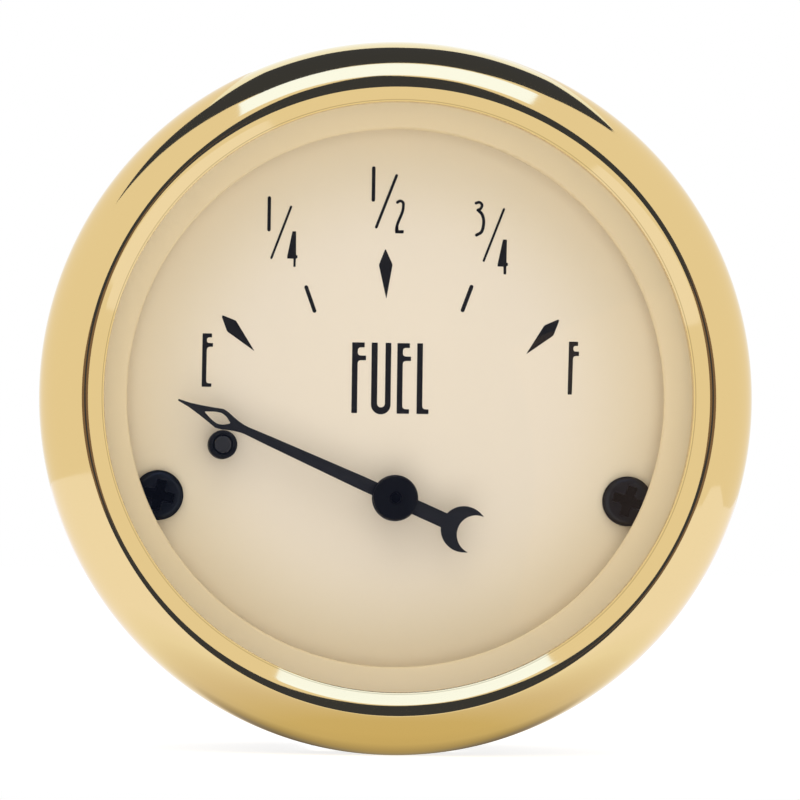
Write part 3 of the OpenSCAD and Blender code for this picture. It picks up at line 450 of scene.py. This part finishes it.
def times(tree, by, factor):
    """Multiplies what goes into the material's Base Color by a colour, as far as factor says."""
    base = tree.nodes["Principled BSDF"].inputs["Base Color"]
    product = node(tree, "Mix", {
        "Factor": factor,
        "A": base.links[0].from_socket,
        "B": (*by, 1),
    }, data_type="RGBA", blend_type="MULTIPLY")
    tree.links.new(product.outputs["Result"], base)


cream = finish("dial_enamel", srgb(244, 232, 212), roughness=0.45, spread=0.05, tone=0.03, scale=1500,
               depth=0.000002, Specular_IOR_Level=0.3)
cream_tree = cream.node_tree
# Painted shade and bounced light: from 12 mm out to the rim the cream is multiplied warmer and darker.
rim_warm_shade = node(cream_tree, "MapRange", {
    "Value": distance_from_axis(cream_tree),
    "From Min": RIM_SHADE_FROM / 1000,
    "From Max": RIM_SHADE_TO / 1000,
}, interpolation_type="SMOOTHSTEP")
times(cream_tree, (1.0, 0.965, 0.83), rim_warm_shade.outputs["Result"])
dress(cream, "dial_plate")


def upright(points):
    """Dial millimetres as metres in the gauge's frame: (x, y, z) goes to (x, -z, y) / 1000."""
    p = np.asarray(points, dtype=float)
    return np.stack([p[..., 0], -p[..., 2], p[..., 1]], -1) / 1000


def arc(centre, radius, start, end, steps):
    """Points on a circle from one angle to another: centre + radius (cos a, sin a), angles in degrees."""
    a = np.radians(np.linspace(start, end, steps))
    return np.asarray(centre) + radius * np.stack([np.cos(a), np.sin(a)], -1)


def soften(points, cuts, steps=6):
    """A closed loop with its corners cut back along both sides and joined by a parabola,
    (1-t)^2 before + 2t(1-t) corner + t^2 after; cuts is one length or one for each corner."""
    p = np.asarray(points, dtype=float)
    to_last, to_next = np.roll(p, 1, axis=0) - p, np.roll(p, -1, axis=0) - p
    cut = np.broadcast_to(np.asarray(cuts, dtype=float), len(p))[:, None]
    before = p + to_last / np.linalg.norm(to_last, axis=1, keepdims=True) * cut
    after = p + to_next / np.linalg.norm(to_next, axis=1, keepdims=True) * cut
    t = np.linspace(0, 1, steps)[None, :, None]
    bent = (1 - t) ** 2 * before[:, None] + 2 * t * (1 - t) * p[:, None] + t ** 2 * after[:, None]
    return bent.reshape(-1, 2)


def stroke(path, width):
    """Outline of a pen stroke: a cubic curve through the path's points, with the slope at each that of the
    chord between its neighbours, offset to both sides by half the width and closed by half circles."""
    p = np.asarray(path, dtype=float)
    extended = np.vstack([2 * p[0] - p[1], p, 2 * p[-1] - p[-2]])
    a, b, c, d = (extended[k:len(p) + k - 1] for k in range(4))
    t = np.linspace(0, 1, 10, endpoint=False)[:, None, None]
    bend, twist = 2 * a - 5 * b + 4 * c - d, 3 * b - a - 3 * c + d
    curve = (2 * b + (c - a) * t + bend * t ** 2 + twist * t ** 3) / 2
    line = np.vstack([curve.transpose(1, 0, 2).reshape(-1, 2), p[-1:]])
    run = np.gradient(line, axis=0)
    run /= np.linalg.norm(run, axis=1, keepdims=True)
    along, side = run * width / 2, np.stack([-run[:, 1], run[:, 0]], -1) * width / 2
    turn = np.linspace(0, np.pi, 10)[1:-1, None]
    end_cap = line[-1] + np.cos(turn) * side[-1] + np.sin(turn) * along[-1]
    start_cap = line[0] - np.cos(turn) * side[0] - np.sin(turn) * along[0]
    return np.vstack([line + side, end_cap, (line - side)[::-1], start_cap])


def cut_sheet(outlines, z_low, z_high, edge=0.0, spread=0.0):
    """Sheet cut along closed outlines, where a loop inside another is a hole: the outlines filled, given
    a thickness from z_low to z_high, edges rounded by a radius, and outlines moved outwards by spread."""
    flat = bpy.data.curves.new("outline", "CURVE")
    flat.dimensions = "2D"
    flat.fill_mode = "BOTH"
    flat.extrude = (z_high - z_low) / 2 - edge
    flat.bevel_depth = edge
    flat.bevel_resolution = 2
    flat.offset = spread - edge
    for loop in outlines:
        line = flat.splines.new("POLY")
        line.points.add(len(loop) - 1)
        flat_points = np.column_stack([loop, np.zeros(len(loop)), np.ones(len(loop))])
        line.points.foreach_set("co", flat_points.ravel())
        line.use_cyclic_u = True
    holder = bpy.data.objects.new("outline", flat)
    scene.collection.objects.link(holder)
    bpy.context.view_layer.update()
    cut = bpy.data.meshes.new_from_object(holder)
    points = np.empty(3 * len(cut.vertices))
    cut.vertices.foreach_get("co", points)
    faces = [tuple(f.vertices) for f in cut.polygons]
    bpy.data.objects.remove(holder)
    bpy.data.meshes.remove(cut)
    return points.reshape(-1, 3) + (0, 0, (z_low + z_high) / 2), faces


def join(*parts):
    """Several (points, faces) pairs as one pair, each part's faces counted on from the part before."""
    starts = np.cumsum([0] + [len(points) for points, _ in parts[:-1]]).tolist()
    points = np.vstack([points for points, _ in parts])
    return points, [tuple(v + start for v in f) for (_, faces), start in zip(parts, starts) for f in faces]


def piece(name, shape, material, body, *stands_for, slot=None, sharp=38):
    """A mesh piece from dial millimetres. Its doubles are merged and its normals turned outwards, and it is
    shaded smooth except across edges sharper than the given angle. It rides on a body, and may stand for
    CAD nodes."""
    points, faces = shape
    mesh = bpy.data.meshes.new(name)
    mesh.from_pydata(upright(points).tolist(), [], faces)
    mesh.materials.append(material)
    built = bmesh.new()
    built.from_mesh(mesh)
    bmesh.ops.remove_doubles(built, verts=built.verts, dist=5e-7)
    bmesh.ops.recalc_face_normals(built, faces=built.faces)
    built.to_mesh(mesh)
    built.free()
    mesh.shade_smooth()
    mesh.set_sharp_from_angle(angle=np.radians(sharp))
    obj = bpy.data.objects.new(name, mesh)
    scene.collection.objects.link(obj)
    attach(obj, body)
    if stands_for:
        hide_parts(*stands_for)
    return obj


word_fuel = [
    soften(
        [(-3.44, -1.19), (-3.01, -1.19), (-3.01, 3.06), (-2.34, 3.06), (-2.34, 3.41), (-3.01, 3.41),
         (-3.01, 4.09), (-2.46, 4.09), (-2.46, 4.46), (-3.44, 4.46)],
        [0.04, 0.04, 0.3, 0.04, 0.04, 0.28, 0.28, 0.04, 0.04, 0.04],
    ),
    np.vstack([
        [(-1.87, 4.46)],
        arc((-1.095, -0.49), 0.775, 180, 360, 25),
        [(-0.32, 4.46), (-0.75, 4.46)],
        arc((-1.08, -0.405), 0.33, 0, -180, 17),
        [(-1.41, 4.46)],
    ]),
    soften(
        [(0.2, -1.19), (1.17, -1.19), (1.17, -0.85), (0.62, -0.85), (0.62, 3.05), (1.28, 3.05),
         (1.28, 3.38), (0.62, 3.38), (0.62, 4.1), (1.18, 4.1), (1.18, 4.45), (0.2, 4.45)],
        [0.04, 0.04, 0.04, 0.3, 0.3, 0.04, 0.04, 0.28, 0.28, 0.04, 0.04, 0.04],
    ),
    soften(
        [(1.8, -1.19), (2.74, -1.19), (2.74, -0.84), (2.23, -0.84), (2.23, 4.46), (1.8, 4.46)],
        [0.04, 0.04, 0.04, 0.3, 0.04, 0.04],
    ),
]
empty_and_full = [
    soften(
        [(-15.48, 0.746), (-14.73, 0.746), (-14.73, 0.996), (-15.15, 0.996), (-15.13, 3.956),
         (-14.64, 3.956), (-14.64, 4.226), (-15.13, 4.226), (-15.13, 4.706), (-14.73, 4.706),
         (-14.73, 4.996), (-15.46, 4.996)],
        [0.03, 0.03, 0.03, 0.25, 0.3, 0.03, 0.03, 0.22, 0.22, 0.03, 0.03, 0.03],
    ),
    soften(
        [(13.97, 0.548), (14.28, 0.548), (14.35, 3.658), (14.82, 3.658), (14.82, 3.988),
         (14.36, 3.988), (14.36, 4.468), (14.74, 4.468), (14.74, 4.778), (14.03, 4.778)],
        [0.03, 0.03, 0.28, 0.03, 0.03, 0.22, 0.22, 0.03, 0.03, 0.03],
    ),
]
kites = [
    soften([(-14.0, 6.52), (-12.82, 6.06), (-11.33, 3.68), (-13.5, 5.2)], [0.25, 0.1, 0.05, 0.1]),
    soften([(13.24, 6.6), (12.02, 6.06), (10.6, 3.76), (12.74, 5.27)], [0.25, 0.1, 0.05, 0.1]),
    soften([(-0.88, 12.02), (-1.38, 10.72), (-0.76, 8.06), (-0.3, 10.77)], [0.12, 0.1, 0.05, 0.1]),
]
ticks = [
    stroke([(-7.21, 8.84), (-6.52, 6.95)], 0.28),
    stroke([(6.09, 9.08), (5.4, 7.19)], 0.29),
]
quarter = [
    stroke([(-10.265, 15.96), (-10.265, 13.41)], 0.25),
    stroke([(-8.51, 15.28), (-10.04, 11.15)], 0.16),
    soften(
        [(-8.366, 13.3), (-8.096, 13.3), (-8.076, 11.42), (-7.956, 11.36), (-7.956, 11.18),
         (-8.086, 11.13), (-8.106, 10.47), (-8.256, 10.47), (-8.256, 11.13), (-8.756, 11.13),
         (-8.756, 11.3)],
        0.03,
    ),
]
half_hook = [(0.48, 15.15), (0.33, 14.7), (0.14, 14.25), (0.02, 13.85), (-0.02, 13.5)]
half = [
    stroke([(-1.905, 18.5), (-1.905, 15.94)], 0.26),
    stroke([(-0.06, 17.93), (-1.64, 13.76)], 0.2),
    stroke(np.vstack([arc((0.26, 15.62), 0.27, 145, -15, 5), half_hook]), 0.2),
    soften([(-0.1, 13.3), (0.56, 13.3), (0.56, 13.53), (0.14, 13.53), (0.13, 13.82), (-0.11, 13.82)], 0.03),
]
three_quarters = [
    stroke([(6.37, 15.82), (6.64, 15.89), (6.86, 15.68), (6.74, 15.38), (6.52, 15.26)], 0.2),
    stroke([(6.54, 15.27), (6.88, 14.9), (7.01, 14.3), (6.86, 13.55), (6.44, 13.25)], 0.22),
    stroke([(8.63, 15.37), (7.05, 11.2)], 0.16),
    soften(
        [(8.596, 12.91), (8.886, 12.91), (8.876, 11.08), (8.996, 11.02), (8.996, 10.84), (8.866, 10.8),
         (8.866, 10.14), (8.676, 10.14), (8.656, 10.76), (8.186, 10.76), (8.186, 10.94)],
        0.03,
    ),
]
ink = finish("dial_ink", srgb(24, 22, 22), roughness=0.5, tone=0.1, depth=0.000001, Specular_IOR_Level=0.15)
marks = [
    cut_sheet([loop], DIAL_Z - INK_T, DIAL_Z + INK_T, spread=INK_SPREAD)
    for loop in word_fuel + empty_and_full + kites + ticks + quarter + half + three_quarters
]
piece("dial_print", join(*marks), ink, "case", slot="dial_enamel")

# Dial screws: two black-oxide pan-head screws, cold-headed with a cross recess. Each goes through the
# dial into its pillar, half under the trim ring.
SCREW_X = 18.85
SCREW_Y = -8.0
SCREW_TURNS = (14.0, 17.0)
HEAD_R = 2.0
HEAD_H = 1.2
HEAD_EDGE_H = 0.3
CROWN_R = 1.45
CROWN_DROP = 0.09
SHOULDER_R = 0.55
SHOULDER_Z = 0.56
SHANK_R = 0.95
SHANK_LENGTH = 5.5
BAR_HALF_WIDTH = 0.35
BAR_REACH = 1.22
MIDDLE_R = 0.62
RECESS_WALL = 0.07
RECESS_DEPTH = 1.0
RECESS_RISE = 0.4
SHADE_BELOW = 0.3
SHADE_WITHIN = 1.4


def round_axis(radius, angle, height, centre):
    """Points of a grid whose axis stands on the dial: x = cx + r cos a, y = cy + r sin a, z = height."""
    x, y = centre[0] + radius * np.cos(angle), centre[1] + radius * np.sin(angle)
    return np.stack(np.broadcast_arrays(x, y, height), -1).reshape(-1, 3)


def turned(section, centre=(0, 0), around=128):
    """A closed section of (radius, height) turned about the dial's normal through centre. Points on the
    axis close to a pole."""
    r, z = np.asarray(section, dtype=float).T[:, :, None]
    a = np.linspace(0, 2 * np.pi, around, endpoint=False)
    return round_axis(r, a, z, centre), grid_faces(len(r), around, closed=True)


def recess_wall(inside_by):
    """0 outside the recess and 1 in it, with a smooth step 3t^2 - 2t^3 over the width of its wall."""
    t = np.clip(inside_by / RECESS_WALL + 0.5, 0, 1)
    return t * t * (3 - 2 * t)


def cross_screw(x, y, turn):
    """A turned pan head and shank whose top is pressed in by a cross of two bars and a round middle. The
    recess is deepest at the centre and rises evenly from there."""
    crown = np.linspace(0, CROWN_R, 56)
    points, faces = turned(np.vstack([
        np.stack([crown, HEAD_H - CROWN_DROP * (crown / CROWN_R) ** 2], -1),
        arc((CROWN_R, SHOULDER_Z), SHOULDER_R, 88, 0, 14),
        [(HEAD_R, HEAD_EDGE_H), (HEAD_R, 0), (SHANK_R, 0), (SHANK_R, -SHANK_LENGTH), (0, -SHANK_LENGTH)],
    ]), around=160)
    c, s = np.cos(np.radians(turn)), np.sin(np.radians(turn))
    u, v = points[:, 0] * c - points[:, 1] * s, points[:, 0] * s + points[:, 1] * c
    r = np.hypot(u, v)
    upright_bar = recess_wall(BAR_HALF_WIDTH - np.abs(u)) * recess_wall(BAR_REACH - np.abs(v))
    level_bar = recess_wall(BAR_HALF_WIDTH - np.abs(v)) * recess_wall(BAR_REACH - np.abs(u))
    cross = np.maximum(np.maximum(upright_bar, level_bar), recess_wall(MIDDLE_R - r))
    on_top = points[:, 2] > 1.0
    points[:, 2] -= np.where(on_top, cross * (RECESS_DEPTH - RECESS_RISE * r), 0)
    return points + (x, y, DIAL_Z), faces


black_oxide = finish("black_oxide", srgb(40, 43, 47), metallic=1.0, roughness=0.34, tone=0.3,
                     Specular_Tint=(0.25, 0.25, 0.27, 1))
oxide_tree = black_oxide.node_tree
# Painted shade: the cross recess in each head is darkened to near black from a little below the head's top.
place = node(oxide_tree, "TexCoord").outputs["Object"]
below_dial = node(oxide_tree, "SeparateXYZ", {0: place}).outputs["Y"]
depth = node(oxide_tree, "MapRange", {
    "Value": below_dial,
    "From Min": 0.0,
    "From Max": SHADE_BELOW / 1000,
})
on_one_side = vector_math(oxide_tree, "MULTIPLY", vector_math(oxide_tree, "ABSOLUTE", place), (1, 0, 1))
from_screw = vector_math(oxide_tree, "DISTANCE", on_one_side, (SCREW_X / 1000, 0, -SCREW_Y / 1000))
in_head = math(oxide_tree, "LESS_THAN", from_screw, SHADE_WITHIN / 1000)
recess_painted_shade = math(oxide_tree, "MULTIPLY", depth.outputs["Result"], in_head)
times(oxide_tree, (0.02, 0.02, 0.02), recess_painted_shade)
screws = [cross_screw(x, SCREW_Y, turn) for x, turn in zip((-SCREW_X, SCREW_X), SCREW_TURNS)]
piece("phillips_screws", join(*screws), black_oxide, "case", "dial_screws", slot="black_steel", sharp=50)

# Stop peg: a steel rivet with its edge broken, set in the dial, with a soft dark sleeve that takes the
# resting pointer.
PEG_AT = (-13.81, -3.91)
peg_steel = finish("peg_steel", srgb(38, 38, 40), roughness=0.4, Specular_IOR_Level=0.35)
peg_section = np.vstack([
    [(0, -2.3), (1.1, -2.3), (1.1, -1.8), (0.685, -1.8)],
    arc((0.585, 1.8), 0.1, 0, 90, 5),
    [(0, 1.92)],
])
piece("rivet_peg", turned(peg_section, PEG_AT, 64), peg_steel, "case", "stop_peg", slot="steel")
soft_black = finish("soft_black", srgb(14, 14, 15), roughness=0.6, Specular_IOR_Level=0.2)
sleeve_section = np.vstack([
    [(0.735, -1.0), (1.15, -1.0)],
    arc((1.0, 1.45), 0.15, 0, 90, 6),
    arc((0.85, 1.5), 0.1, 90, 180, 4),
    [(0.735, 1.4)],
])
piece("soft_sleeve", turned(sleeve_section, PEG_AT, 72), soft_black, "case", "peg_sleeve", slot="rubber")

# Pointer: blanked from thin sheet with a slotted spear and a tail forked like a spanner, sprayed satin
# black and pressed on a turned hub, which turns with the blued spindle. The spindle is painted near black,
# so that its end in the hub's middle reads as a shaded hole: painted shade.
PIVOT = (0.0, -8.0)
POINTER_TURN = 180 - 23.6
SHEET_BACK = 1.1
SHEET_FRONT = 1.5
HUB_HOLE_R = 1.05
# Painted shade: the blued spindle is made near black, so that its end looks like a hole in shade.
spindle_shade_black = finish("blued_spindle_painted_dark", srgb(9, 9, 11), metallic=1.0, roughness=0.5,
                      Specular_Tint=(0.1, 0.1, 0.1, 1))
dress(spindle_shade_black, "spindle")
spear = np.array([
    (19.0, 0.07), (18.0, 0.18), (17.0, 0.40), (16.0, 0.65), (15.4, 0.82), (14.9, 0.74), (14.5, 0.6),
    (14.0, 0.45), (13.4, 0.34), (13.0, 0.32), (11.0, 0.385), (3.0, 0.545),
])
boss = arc((0, 0), 1.85, 17.1, 160.8, 40)
tail_head = arc((-6.05, 0), 1.85, 19.3, 124.5, 30)
jaw_mouth = arc((-7.12, 0), 1.55, 87, -87, 40)
upper_edge = np.vstack([spear, boss, tail_head])
pointer_outline = np.vstack([upper_edge, jaw_mouth, upper_edge[::-1] * (1, -1)])
spear_slot = soften(
    [(14.4, 0.0), (14.95, 0.36), (15.4, 0.47), (15.9, 0.36), (16.75, 0.0), (15.9, -0.36), (15.4, -0.47),
     (14.95, -0.36)],
    [0.2, 0.15, 0.15, 0.15, 0.2, 0.15, 0.15, 0.15],
)
hub_hole = arc((0, 0), HUB_HOLE_R, 0, 350, 36)
arm_points, arm_faces = cut_sheet([pointer_outline, spear_slot, hub_hole], SHEET_BACK, SHEET_FRONT, edge=0.05)
turn = np.radians(POINTER_TURN)
spin = np.array([[np.cos(turn), -np.sin(turn)], [np.sin(turn), np.cos(turn)]])
arm_points[:, :2] = arm_points[:, :2] @ spin.T + PIVOT
pointer_black = finish("pointer_black", srgb(24, 24, 27), roughness=0.5, Specular_IOR_Level=0.25)
piece("pointer_arm", (arm_points, arm_faces), pointer_black, "pointer_arm", "pointer", slot="pointer_black",
      sharp=30)
hub_section = np.vstack([
    [(0.42, -0.3), (1.0, -0.3), (1.0, 0.5), (1.4, 0.5), (1.4, 1.1), (1.0, 1.1), (1.0, 1.5), (1.77, 1.5)],
    arc((1.62, 1.95), 0.15, 0, 90, 7),
    [(0.5, 2.1), (0.42, 2.03)],
])
hub_black = finish("hub_black", srgb(8, 8, 11), roughness=0.4, Specular_IOR_Level=0.12)
piece("turned_hub", turned(hub_section, PIVOT), hub_black, "pointer_arm", "pointer_hub", slot="pointer_black")

# Trim ring: pressed from aluminium and painted champagne. It lies between the glass and the dial, covers
# the dial's slots and half of each screw, and keeps the two apart.
champagne = finish("champagne_paint", srgb(244, 224, 182), roughness=0.5, tone=0.03)
dress(champagne, "trim_ring")

# Glass: flat, with ground edges, bedded on a rubber gasket in front of the case flange. Here it lets
# shadow and bounced light through unbent.
clear = bpy.data.materials.new("clear_glass")
clear.use_nodes = True
glass_tree = clear.node_tree
glass = glass_tree.nodes["Principled BSDF"]
glass.inputs["Base Color"].default_value = (1, 1, 1, 1)
glass.inputs["Roughness"].default_value = 0.0
glass.inputs["IOR"].default_value = 1.5
glass.inputs["Transmission Weight"].default_value = 1.0
ray = node(glass_tree, "LightPath").outputs
pane = node(glass_tree, "MixShader", {
    0: math(glass_tree, "MAXIMUM", ray["Is Shadow Ray"], ray["Is Diffuse Ray"]),
    1: glass.outputs[0],
    2: node(glass_tree, "BsdfTransparent").outputs[0],
})
glass_tree.links.new(pane.outputs[0], glass_tree.nodes["Material Output"].inputs["Surface"])
dress(clear, "lens")
dress(soft_black, "lens_gasket")

# Bezel: spun from brass sheet over a form and polished, with a rounded outer band, a fat roll along the
# crest, a slope down to a rounded lip on the glass, and a rim rolled behind the case flange. A faint dark
# line is painted round the slope, just outside the lip: painted shade and brass-in-brass reflection of a
# groove.
BAND_R = 28.5
RIM_HOLE_R = 27.1
SHEET = 0.8
BULGE_CENTRE = np.array([23.5, 2.3])
BULGE_R = 5.0
ROLL_CENTRE = np.array([24.93, 5.928])
ROLL_R = 1.1
LIP_CENTRE = np.array([23.5, 6.052])
LIP_R = 0.1
SLOPE = 129.2
GLASS_FRONT = 5.02
DARK_LINE_R = 23.56
DARK_LINE_HALF = 0.04
meets = float(np.degrees(np.arctan2(*(ROLL_CENTRE - BULGE_CENTRE)[::-1])))
roll_end = arc(ROLL_CENTRE, ROLL_R, SLOPE, SLOPE, 1)[0]
lip_start = arc(LIP_CENTRE, LIP_R, SLOPE, SLOPE, 1)[0]
bezel_section = np.vstack([
    arc((BAND_R - SHEET, SHEET), SHEET, -90, 0, 10),
    np.stack([np.full(8, BAND_R), np.linspace(0.95, 2.2, 8)], -1),
    arc(BULGE_CENTRE, BULGE_R, 0, meets, 46),
    arc(ROLL_CENTRE, ROLL_R, meets, SLOPE, 24)[1:],
    np.linspace(roll_end, lip_start, 24)[1:-1],
    arc(LIP_CENTRE, LIP_R, SLOPE, 180, 8),
    [(23.4, 5.4), (23.4, GLASS_FRONT), (24.05, GLASS_FRONT), (24.075, 5.605)],
    arc(ROLL_CENTRE, ROLL_R - SHEET, SLOPE, meets, 4),
    arc(BULGE_CENTRE, BULGE_R - SHEET, meets, 0, 14),
    [(BAND_R - SHEET, SHEET), (RIM_HOLE_R, SHEET), (RIM_HOLE_R, 0.0)],
])
polished_brass = finish("polished_brass", srgb(228, 200, 140), metallic=1.0, roughness=0.06, spread=0.02,
                        tone=0.015, depth=0.0000003)
brass_tree = polished_brass.node_tree
# Painted reflection and shade: a thin ring just outside the lip is darkened as a groove would darken it.
painted_groove_line = math(brass_tree, "COMPARE", distance_from_axis(brass_tree), DARK_LINE_R / 1000,
               DARK_LINE_HALF / 1000)
times(brass_tree, (0.74, 0.72, 0.66), painted_groove_line)
piece("spun_bezel", turned(bezel_section, around=384), polished_brass, "case", "bezel",
      slot="polished_brass", sharp=45)

# Terminals: three brass studs with rolled threads through the case back, with hexagon heads inside and
# nuts outside. Fibre washers insulate them, and steel washers lie under the nuts.
TERMINALS = [(11.923, y) for y in (-10.8, 0.0, 10.8)]
STUD_R = 2.08
STUD_CHAMFER = 0.5
STUD_HEAD_Z = (-23.8, -22.2)
STUD_HEAD_FLATS = 7.2
STUD_ROD_Z = (-39.0, -23.82)
PITCH = 0.794
THREAD_DEPTH = 0.4 * PITCH
THREAD_WAVE = np.array([0, 0.08, 0.45, 0.92, 1, 0.92, 0.45, 0.08])
NUT_T = 3.2
NUT_FLATS = 8.7
NUT_BORE_R = 2.13
NUT_Z = -32.8
BORE_CHAMFER = 0.25
END_FACE = 0.9
CHAMFER_START = 0.97
CHAMFER_RISE = 1.73
WASHER_Z = (-28.6, -27.8)
WASHER_R = (2.2, 4.6)


def threaded(x, y, z_low, z_high, around=48):
    """A threaded rod with its thread running along the grid: row i, column a stands at the height
    (i / 8 + a / 2 pi) pitch, its radius a rounded wave of i, cut by the chamfer cone of its free end."""
    per_turn = len(THREAD_WAVE)
    rows = int((z_high - z_low) / PITCH * per_turn) + per_turn + 2
    i = np.arange(rows)[:, None]
    a = np.linspace(0, 2 * np.pi, around + 1)
    z = np.clip(z_low + (i / per_turn - 1 + a / (2 * np.pi)) * PITCH, z_low, z_high)
    radius = np.minimum(STUD_R - THREAD_DEPTH * THREAD_WAVE[i % per_turn], STUD_R - STUD_CHAMFER + z - z_low)
    points = round_axis(radius, a, z, (x, y))
    low_pole, high_pole = len(points), len(points) + 1
    column, last_row = np.arange(around), len(points) - around - 1
    low_cap = np.stack([np.full(around, low_pole), column + 1, column], -1).tolist()
    high_cap = np.stack([np.full(around, high_pole), last_row + column, last_row + column + 1], -1).tolist()
    points = np.vstack([points, [(x, y, z_low), (x, y, z_high)]])
    return points, grid_faces(rows, around + 1) + low_cap + high_cap


def hexagon_body(x, y, z_low, z_high, flats, bore=0.0, around=144):
    """A nut or a stud's head: at each height the radius is that of the hexagon, flats / 2 / cos of the angle
    from the nearest flat's middle, cut by the 30 degree chamfer cones of both ends."""
    a = np.linspace(0, 2 * np.pi, around, endpoint=False)
    hexagon = flats / 2 / np.cos((a + np.pi / 6) % (np.pi / 3) - np.pi / 6)
    t = z_high - z_low
    near_end = np.array([0, 0.06, 0.14, 0.24, 0.36, 0.5])
    depth = np.concatenate([near_end, [t / 2], t - near_end[::-1]])
    cone = flats / 2 * CHAMFER_START + np.minimum(depth, t - depth)[:, None] * CHAMFER_RISE
    end_face = flats / 2 * END_FACE
    mouth = bore + BORE_CHAMFER if bore else 0.0
    rings = [mouth, end_face, *np.minimum(hexagon, cone), end_face, mouth]
    heights = [0, 0, *depth, t, t]
    if bore:
        rings += [bore, bore]
        heights += [t - BORE_CHAMFER, BORE_CHAMFER]
    r = np.stack([np.broadcast_to(ring, around) for ring in rings])
    z = z_low + np.array(heights)[:, None]
    return round_axis(r, a, z, (x, y)), grid_faces(len(rings), around, closed=True)


def hexagon_nut(x, y, z_low):
    """A standard nut for the studs."""
    return hexagon_body(x, y, z_low, z_low + NUT_T, NUT_FLATS, NUT_BORE_R)


stud_parts = []
for x, y in TERMINALS:
    stud_parts.append(hexagon_body(x, y, *STUD_HEAD_Z, STUD_HEAD_FLATS))
    stud_parts.append(threaded(x, y, *STUD_ROD_Z))
piece("threaded_terminals", join(*stud_parts), turned_brass, "case", "terminal_studs", slot="brass")
terminal_nuts = [hexagon_nut(x, y, NUT_Z) for x, y in TERMINALS]
piece("brass_nuts", join(*terminal_nuts), turned_brass, "case", "terminal_nuts", slot="brass", sharp=25)
washer_corners = [(r, WASHER_Z[0]) for r in WASHER_R] + [(r, WASHER_Z[1]) for r in WASHER_R[::-1]]
washer_section = soften(washer_corners, [0.03, 0.03, 0.1, 0.1], 4)
flat_washers = [turned(washer_section, at, 72) for at in TERMINALS]
piece("flat_washers", join(*flat_washers), bright_steel, "case", "terminal_washers", slot="zinc_steel")
dress(bright_steel, "terminal_lock_washers")
fibre = finish("fibre", srgb(150, 84, 56), roughness=0.6)
dress(fibre, "inner_insulators", "outer_insulators")

# Clamp: two steel studs welded in the case back by their round heads, and a strap bent to a U and
# zinc-plated, which lock washers and nuts pull against the panel.
CLAMP_STUD_Y = (-16.0, 16.0)
CLAMP_ROD_Z = (-50.0, -26.22)
CLAMP_NUT_Z = -38.4
zinc = finish("zinc_plate", srgb(200, 202, 204), metallic=1.0, roughness=0.34)
weld_head = [(0, -26.2), (4.0, -26.2), (4.0, -25.7), (3.9, -25.6), (0, -25.6)]
clamp_stud_parts = []
for y in CLAMP_STUD_Y:
    clamp_stud_parts.append(turned(weld_head, (0, y), 72))
    clamp_stud_parts.append(threaded(0, y, *CLAMP_ROD_Z))
piece("threaded_clamp_studs", join(*clamp_stud_parts), zinc, "case", "clamp_studs", slot="steel")
dress(zinc, "clamp_bracket")
dress(bright_steel, "clamp_lock_washers")
clamp_nuts = [hexagon_nut(0, y, CLAMP_NUT_Z) for y in CLAMP_STUD_Y]
piece("steel_nuts", join(*clamp_nuts), zinc, "clamp", "clamp_nuts", slot="zinc_steel", sharp=25)

# Lamp: a push-in holder moulded in black plastic with two brass leaves, and a wedge-base lamp of clear
# glass in it. It pushes into the case back and lights the dial from behind.
black_plastic = finish("black_plastic", srgb(30, 30, 31), roughness=0.4)
dress(black_plastic, "lamp_holder")
dress(turned_brass, "lamp_contacts")
dress(clear, "lamp_bulb")
